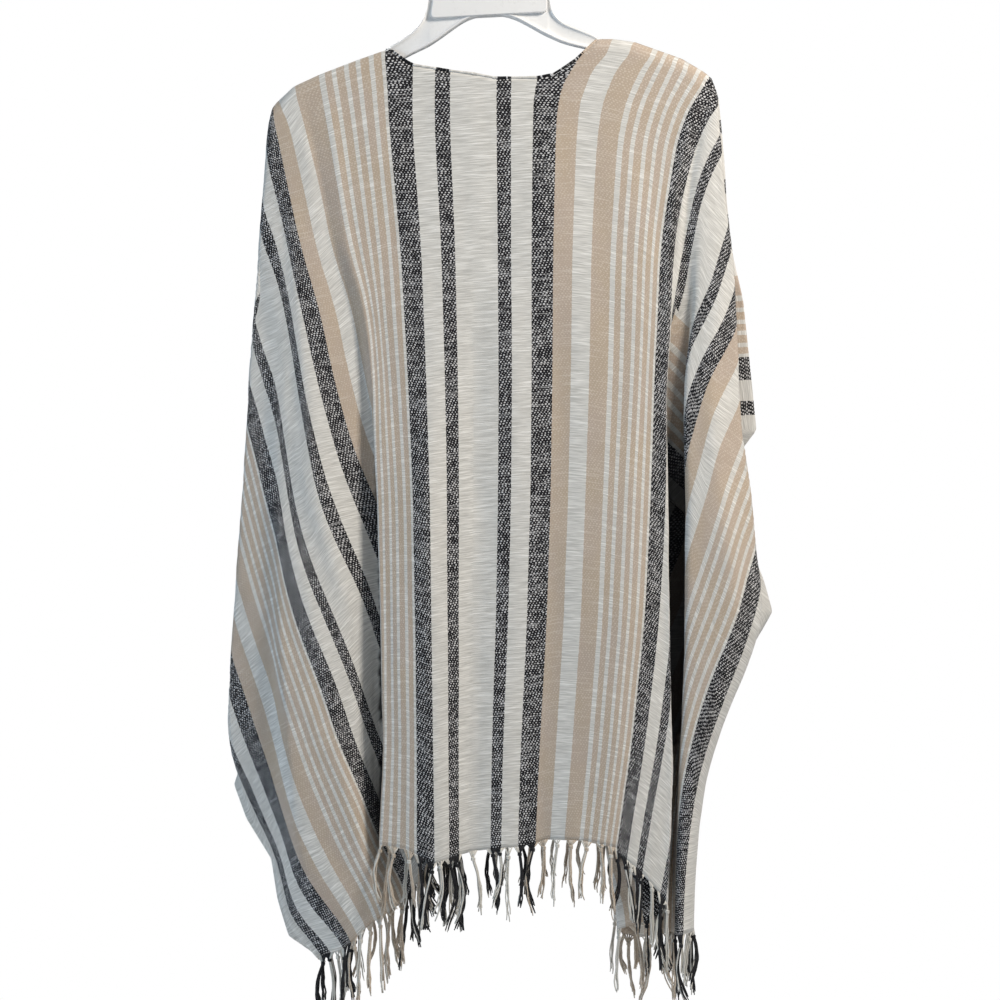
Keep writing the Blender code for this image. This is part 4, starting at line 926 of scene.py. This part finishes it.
def knot_fringe(name, node, columns, grid, reach, keep, seed):
    """The fringe of one panel; reach is the length of the longest yarns."""
    chance = np.random.default_rng(seed)
    hem = to_metres(grid[:, -1])
    order = np.argsort(columns)
    verts, faces, flat = [], [], []
    for across, yarns in bunches:
        if not keep(across):
            continue
        width = 8.0 if yarns > 5 else 6.5
        length = reach * chance.uniform(0.72, 1.0)
        knot_at = np.array([np.interp(across, columns[order], hem[order, k]) for k in range(3)])
        knot_at[2] -= chance.uniform(5.0, 10.0) * MM
        knot_at[:2] += chance.normal(0.0, 0.6, 2) * MM
        sway = chance.normal(0.0, 4.0, 2) * MM * (1.0, 0.4)
        bow = chance.normal(0.0, 3.0) * MM
        for number in range(yarns):
            share = (number + 0.5) / yarns - 0.5
            place = float(np.clip(across + share * 2.0 * width,
                                  columns[order[0]] + 0.5, columns[order[-1]] - 0.5))
            root = np.array([np.interp(place, columns[order], hem[order, k]) for k in range(3)])
            root[2] += 0.6 * MM
            turn = math.tau * number / yarns + chance.uniform(0, 0.8)
            around = np.array([math.cos(turn), 0.8 * math.sin(turn), 0.0])
            end_length = length * chance.uniform(0.84, 1.04) * MM
            spread = chance.uniform(0.1, 1.3) * MM
            waves, phase = chance.uniform(1.4, 3.2), chance.uniform(0, math.tau)
            curl = chance.uniform(0.3, 1.1) * MM
            line = [root, root + (knot_at - root) * 0.55 + around * 0.5 * MM, knot_at + around * 0.75 * MM]
            steps = 11
            for step in range(1, steps + 1):
                down = step / steps
                wave = math.sin(phase + waves * math.tau * down) * curl * down
                drift = around * (0.9 * MM + spread * down ** 1.3)
                drift = drift + np.array([sway[0] * down ** 1.5 + wave + bow * math.sin(math.pi * down),
                                          sway[1] * down + wave * 0.5, -end_length * down])
                line.append(knot_at + drift)
            thick = chance.uniform(0.62, 0.85) * MM
            radii = [thick] * (len(line) - 2) + [thick * 0.95, thick * 0.7]
            sweep(verts, faces, flat, line, radii, 5,
                  [(place, HALF_LENGTH + 3.0 * i) for i in range(len(line))])
        turns = 22
        coil = [knot_at + np.array([1.55 * MM * math.cos(math.tau * i / 9),
                                    1.3 * MM * math.sin(math.tau * i / 9),
                                    (1.1 - 2.4 * i / turns) * MM]) for i in range(turns + 1)]
        sweep(verts, faces, flat, coil, [0.75 * MM] * len(coil), 6,
              [(across, HALF_LENGTH + 2.0 * i) for i in range(len(coil))])
    made = mesh_piece(name, verts, faces, flat, yarn_look)
    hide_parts(node)
    print(name, "triangles about", 2 * len(faces))
    return made


def yarn_material(name):
    """Twisted cotton yarn that keeps the colour of its stripe."""
    material, tree, shader = new_finish(name)
    cut = add(tree, "ShaderNodeUVMap", uv_map="Flat cut")
    place = add(tree, "ShaderNodeSeparateXYZ", {0: cut.outputs[0]})
    across = maths(tree, "MULTIPLY_ADD", place.outputs[0], -1000.0, HALF_WIDTH)
    warp = use_group(tree, stripes, {"Across": across, "Down": 0.0, "Wander": 0.3})
    spot = add(tree, "ShaderNodeTexCoord")
    fuzz = add(tree, "ShaderNodeTexNoise", {"Vector": spot.outputs["Object"], "Scale": 900.0, "Detail": 2.0})
    fine = add(tree, "ShaderNodeMapRange", {0: fuzz.outputs[0], 1: 0.35, 2: 0.7})
    colour = blend(tree, warp.outputs["Beige"], srgb(222, 218, 208), srgb(196, 178, 156))
    colour = blend(tree, warp.outputs["Black"], colour, srgb(22, 22, 25))
    lighter = blend(tree, warp.outputs["Black"], srgb(238, 236, 230), srgb(70, 70, 74))
    colour = blend(tree, maths(tree, "MULTIPLY", fine.outputs[0], 0.5), colour, lighter)
    tree.links.new(colour, shader.inputs["Base Color"])
    raised = add(tree, "ShaderNodeBump", {"Height": fuzz.outputs[0], "Strength": 0.5, "Distance": 0.2 * MM})
    tree.links.new(raised.outputs[0], shader.inputs["Normal"])
    shader.inputs["Roughness"].default_value = 0.85
    shader.inputs["Specular IOR Level"].default_value = 0.25
    shader.inputs["Sheen Weight"].default_value = 0.15
    return material


yarn_look = yarn_material("Fringe yarn")
fringes = {
    "back": knot_fringe("Fringe_back", "fringe_back", back_columns, back_grid, BACK_FRINGE,
                        lambda across: True, 7),
    "left": knot_fringe("Fringe_front_left", "fringe_front_left", np.abs(columns_of[1]), fronts[1][1],
                        FRONT_FRINGE, lambda across: across > BARE_MIDDLE, 8),
    "right": knot_fringe("Fringe_front_right", "fringe_front_right", columns_of[-1], fronts[-1][1],
                         FRONT_FRINGE, lambda across: across < -BARE_MIDDLE, 9),
}

# %% [markdown]
# ## The hanger
# A shop hanger is moulded in one piece from white plastic: two sloping arms, a blank raised plate
# in the middle, and a stiff rim round a thinner web. It is lofted through cross-sections, each
# one a row of the table, because a hanger changes its height and thickness all along.

# %% Sections of the hanger
HANGER = [  # across, top drop, bottom drop, half thickness, in millimetres
    (187, 66, 70, 1.5), (185, 61, 72, 3), (180, 55, 74, 4.5), (172, 42.5, 71, 5), (148, 30.6, 59, 5.5),
    (113, 17.3, 44, 5.5), (94, 12, 32, 3.4), (88, 8, 28, 3.0), (80, 1.5, 22, 3.2), (69, -5, 15, 4.5),
    (57, -13, 8.6, 5), (50, -22, 5.4, 5.5), (46, -31, 3.4, 6), (43.5, -42, 2.2, 6.3), (42, -64, 1.2, 6.5),
    (36, -72, -2.5, 6.5), (22, -73, -12.6, 6.5), (8, -74, -23, 6.5), (-6, -75, -27.3, 6.5),
    (-19, -76, -28.6, 6.5), (-31, -76.5, -27.3, 6.5), (-42, -77, -24, 6.5), (-55, -78, -16.9, 6.5),
    (-66, -76, -10.6, 6.5), (-72, -69, -7.6, 6.5), (-73.5, -40, -7, 6.2), (-77, -31, -5.4, 6),
    (-85, -22, -1.6, 5), (-98, -17, 2.2, 4.2), (-110, -12.6, 4.6, 3.6), (-118, -9.6, 6.5, 2.4),
    (-124, -3.5, 10, 2.2), (-136, -2.2, 13, 4.4), (-157, 1.0, 21, 5), (-174, 7.0, 31, 5),
    (-202, 17.2, 43, 5), (-215, 26.5, 48, 4.5), (-221, 36, 48, 3), (-224, 41, 46, 1.5),
]


def hanger_ring(across, top, bottom, half):
    """A cross-section: a rim above and below, and a thinner web between."""
    height = bottom - top
    rim = min(3.4, 0.22 * height)
    web = half * (0.5 if height > 9 else 0.9)
    side = [(0.45 * half, top), (0.9 * half, top + 0.25 * rim), (half, top + 0.6 * rim),
            (0.9 * half, top + 0.95 * rim), (web, top + 1.25 * rim), (web, bottom - 1.25 * rim),
            (0.9 * half, bottom - 0.95 * rim), (half, bottom - 0.6 * rim), (0.9 * half, bottom - 0.25 * rim),
            (0.45 * half, bottom)]
    ring = side + [(-y, z) for y, z in reversed(side)]
    return [(across, y, z) for y, z in ring]


PLATE = [(42.0, -24.6), (-72.0, -30.6), (-72.0, -72.0), (36.0, -70.0)]     # corners: across, drop
PLATE_CORNER = 5.0
PLATE_LAYERS = ((2.6, 0.0), (7.0, 0.0), (7.7, 1.0))     # lift off the middle, and how far inset


def rounded(corners, radius, steps=5):
    """A closed outline with its corners rounded."""
    points = []
    count = len(corners)
    for i, corner in enumerate(np.array(corners, float)):
        before = np.array(corners[i - 1]) - corner
        after = np.array(corners[(i + 1) % count]) - corner
        before, after = before / np.linalg.norm(before), after / np.linalg.norm(after)
        for step in range(steps + 1):
            t = step / steps
            a, b = corner + before * radius * (1 - t), corner + after * radius * t
            points.append(a * (1 - t) + b * t)
    return points


# %% Mould the hanger
def white_plastic(name):
    """White moulded plastic: faint flow marks, small scuffs and a soft gloss."""
    material, tree, shader = new_finish(name)
    spot = add(tree, "ShaderNodeTexCoord")
    flow = add(tree, "ShaderNodeTexNoise", {"Vector": spot.outputs["Object"], "Scale": 14.0, "Detail": 3.0})
    scuff = add(tree, "ShaderNodeTexNoise", {"Vector": spot.outputs["Object"], "Scale": 160.0, "Detail": 4.0})
    worn = add(tree, "ShaderNodeMapRange", {0: scuff.outputs[0], 1: 0.6, 2: 0.75})
    colour = blend(tree, flow.outputs[0], srgb(246, 246, 245), srgb(251, 251, 250))
    colour = blend(tree, maths(tree, "MULTIPLY", worn.outputs[0], 0.25), colour, srgb(214, 214, 212))
    tree.links.new(colour, shader.inputs["Base Color"])
    rough = add(tree, "ShaderNodeMapRange", {0: scuff.outputs[0], 1: 0.3, 2: 0.7, 3: 0.26, 4: 0.42})
    tree.links.new(rough.outputs[0], shader.inputs["Roughness"])
    raised = add(tree, "ShaderNodeBump", {"Height": flow.outputs[0], "Strength": 0.15, "Distance": 0.6 * MM})
    tree.links.new(raised.outputs[0], shader.inputs["Normal"])
    shader.inputs["Coat Weight"].default_value = 0.12
    return material


plastic = white_plastic("White moulded plastic")
verts, faces = [], []
for row in HANGER:
    verts += [tuple(p) for p in to_metres(hanger_ring(*row))]
ring = len(verts) // len(HANGER)
for index in range(len(HANGER) - 1):
    a, b = ring * index, ring * (index + 1)
    faces += [(a + i, a + (i + 1) % ring, b + (i + 1) % ring, b + i) for i in range(ring)]
faces += [tuple(range(ring)), tuple(len(verts) - 1 - i for i in range(ring))]
hanger = mesh_piece("Hanger_body", verts, faces, [], plastic)
soften = hanger.modifiers.new("Soft edges", "SUBSURF")
soften.levels = soften.render_levels = 2
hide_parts("hanger_body")
print("hanger sections:", len(HANGER), "points in each:", ring)

# %% The blank plate and the collar of the hook
for name, face in (("Blank_plate_back", 1), ("Blank_plate_front", -1)):
    verts, faces = [], []
    outline = rounded(PLATE, PLATE_CORNER)
    middle = np.mean(outline, axis=0)
    for lift, inset in PLATE_LAYERS:
        for point in outline:
            away = (middle - point) / np.linalg.norm(middle - point)
            x, z = point + away * inset
            verts.append(tuple(to_metres([(x, face * lift, z)])[0]))
    count = len(outline)
    for layer in range(2):
        a, b = layer * count, (layer + 1) * count
        faces += [(a + i, a + (i + 1) % count, b + (i + 1) % count, b + i) for i in range(count)]
    faces += [tuple(range(count)), tuple(range(2 * count, 3 * count))]
    plate = mesh_piece(name, verts, faces, [], plastic, smooth=False)
    rim = plate.modifiers.new("Rounded rim", "BEVEL")
    rim.width, rim.segments, rim.limit_method, rim.angle_limit = 0.5 * MM, 2, "ANGLE", math.radians(25)
verts, faces = [], []
collar = [(-15.5, 0.0, -77.0 - s) for s in (-4.0, 0.0, 1.4, 2.2)]
sweep(verts, faces, [], to_metres(collar), [5.6 * MM, 5.6 * MM, 5.0 * MM, 3.2 * MM], 24, [(0, 0)] * 4)
collar = mesh_piece("Hook_collar", verts, faces, [], plastic)
print("plate corners:", PLATE)

# %% [markdown]
# ## The hook
# The hook is a bent steel wire with a bright plating, screwed into the hanger. A curve with a
# round bevel is the natural way to draw a wire: a smooth spline through a few measured points.

# %% Bend the hook wire
HOOK = [(-15.5, -66.0), (-15.6, -56), (-15.8, -46), (-17, -36), (-20.2, -27), (-21.5, -18), (-19, -8.5),
        (-12.5, -2), (-6.5, 1.1), (0, 2), (6.5, 1.1), (12.5, -2), (17.5, -7.5), (20, -15), (19.5, -21)]
HOOK_RADIUS = 2.0


def plated_wire(name):
    """Bright plated steel with fine drawing marks along the wire."""
    material, tree, shader = new_finish(name)
    spot = add(tree, "ShaderNodeTexCoord")
    marks = add(tree, "ShaderNodeTexNoise", {"Vector": spot.outputs["Object"], "Scale": 380.0, "Detail": 4.0})
    rough = add(tree, "ShaderNodeMapRange", {0: marks.outputs[0], 1: 0.3, 2: 0.7, 3: 0.14, 4: 0.34})
    colour = blend(tree, marks.outputs[0], srgb(196, 197, 200), srgb(226, 226, 226))
    tree.links.new(colour, shader.inputs["Base Color"])
    tree.links.new(rough.outputs[0], shader.inputs["Roughness"])
    shader.inputs["Metallic"].default_value = 1.0
    return material


wire = bpy.data.curves.new("Hook_wire", "CURVE")
wire.dimensions, wire.bevel_depth, wire.bevel_resolution, wire.use_fill_caps = "3D", HOOK_RADIUS * MM, 5, True
spline = wire.splines.new("NURBS")
spline.points.add(len(HOOK) - 1)
for target, (x, z) in zip(spline.points, HOOK):
    target.co = (x * MM, 0.0, z * MM, 1.0)
spline.use_endpoint_u, spline.order_u, spline.resolution_u = True, 4, 6
hook = bpy.data.objects.new("Hook_wire", wire)
bpy.context.scene.collection.objects.link(hook)
wire.materials.append(plated_wire("Plated hook wire"))
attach(hook, "root")
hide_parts("hanger_hook")
print("hook top at", round(max(z for _, z in HOOK) + HOOK_RADIUS, 1), "mm")

# %% [markdown]
# ## The camera and the light
# The photograph looks straight at the back from about 2.4 m with a long lens. A warm lamp stands
# at the upper right and a weaker, wider, cool one at the left. A third lights the fronts, which
# the photograph doesn't show. The room is brighter above than below, and white to the camera.

# %% Camera
lens = bpy.data.cameras.new("Photograph view")
lens.sensor_width, lens.lens = 36.0, 89.0
camera = bpy.data.objects.new("Photograph view", lens)
bpy.context.scene.collection.objects.link(camera)
camera.location = (-0.026, 2.4, -0.579)
camera.rotation_euler = (math.radians(90), 0.0, math.radians(180))
bpy.context.scene.camera = camera
print("camera at", tuple(round(v, 3) for v in camera.location))

# %% Floor, room light and lamps
FLOOR_Z = -1.5
bpy.ops.mesh.primitive_circle_add(vertices=96, radius=2.0, fill_type="NGON", location=(0, 0, FLOOR_Z))
floor = bpy.context.object
floor.name = "Studio_floor"
pale, _, paint = new_finish("Pale floor")
paint.inputs["Base Color"].default_value = (0.85, 0.85, 0.86, 1.0)
paint.inputs["Roughness"].default_value = 0.9
floor.data.materials.append(pale)

bpy.context.scene.view_settings.view_transform = "Standard"
room = bpy.data.worlds.new("Even room light")
bpy.context.scene.world = room
room.use_nodes = True
sky = room.node_tree
background = sky.nodes["Background"]
seen = add(sky, "ShaderNodeLightPath")
facing = add(sky, "ShaderNodeSeparateXYZ", {0: add(sky, "ShaderNodeTexCoord").outputs["Generated"]})
ceiling = add(sky, "ShaderNodeMapRange", {0: facing.outputs[2], 1: -0.5, 2: 0.9, 3: 0.05, 4: 0.33})
tint = blend(sky, ceiling.outputs[0], (0.80, 0.90, 1.0, 1.0), (1.0, 0.99, 0.97, 1.0))
level = add(sky, "ShaderNodeMix", {0: seen.outputs["Is Camera Ray"], 2: ceiling.outputs[0], 3: 1.0})
shown = blend(sky, seen.outputs["Is Camera Ray"], tint, (1.0, 1.0, 1.0, 1.0))
sky.links.new(shown, background.inputs["Color"])
sky.links.new(level.outputs[0], background.inputs["Strength"])

LAMPS_AIM = (0.0, 0.0, -0.55)
LAMPS = [  # name, place, size, watts, colour
    ("Key lamp", (-1.1, 0.9, 0.7), 0.4, 29.0, (1.0, 0.93, 0.85)),
    ("Cool fill", (1.8, 0.9, -0.3), 0.8, 10.5, (0.58, 0.78, 1.0)),
    ("Front lamp", (0.9, -2.2, 0.4), 1.4, 32.0, (1.0, 0.98, 0.95)),
]
for name, place, size, watts, colour in LAMPS:
    lamp = bpy.data.lights.new(name, "AREA")
    lamp.shape, lamp.size, lamp.energy, lamp.color = "SQUARE", size, watts, colour
    stand = bpy.data.objects.new(name, lamp)
    bpy.context.scene.collection.objects.link(stand)
    stand.location = place
    aim = Vector(LAMPS_AIM) - Vector(place)
    stand.rotation_euler = aim.to_track_quat("-Z", "Y").to_euler()
print("lamps:", [row[0] for row in LAMPS])

# %% [markdown]
# ## Sizes of the fronts
# The place of each front's inner edge is worked out every 9 mm down the cut.

for sign, half in ((1, LEFT_FRONT), (-1, RIGHT_FRONT)):
    edges = [front_edge(half, down) for down in range(0, 775, 9)]
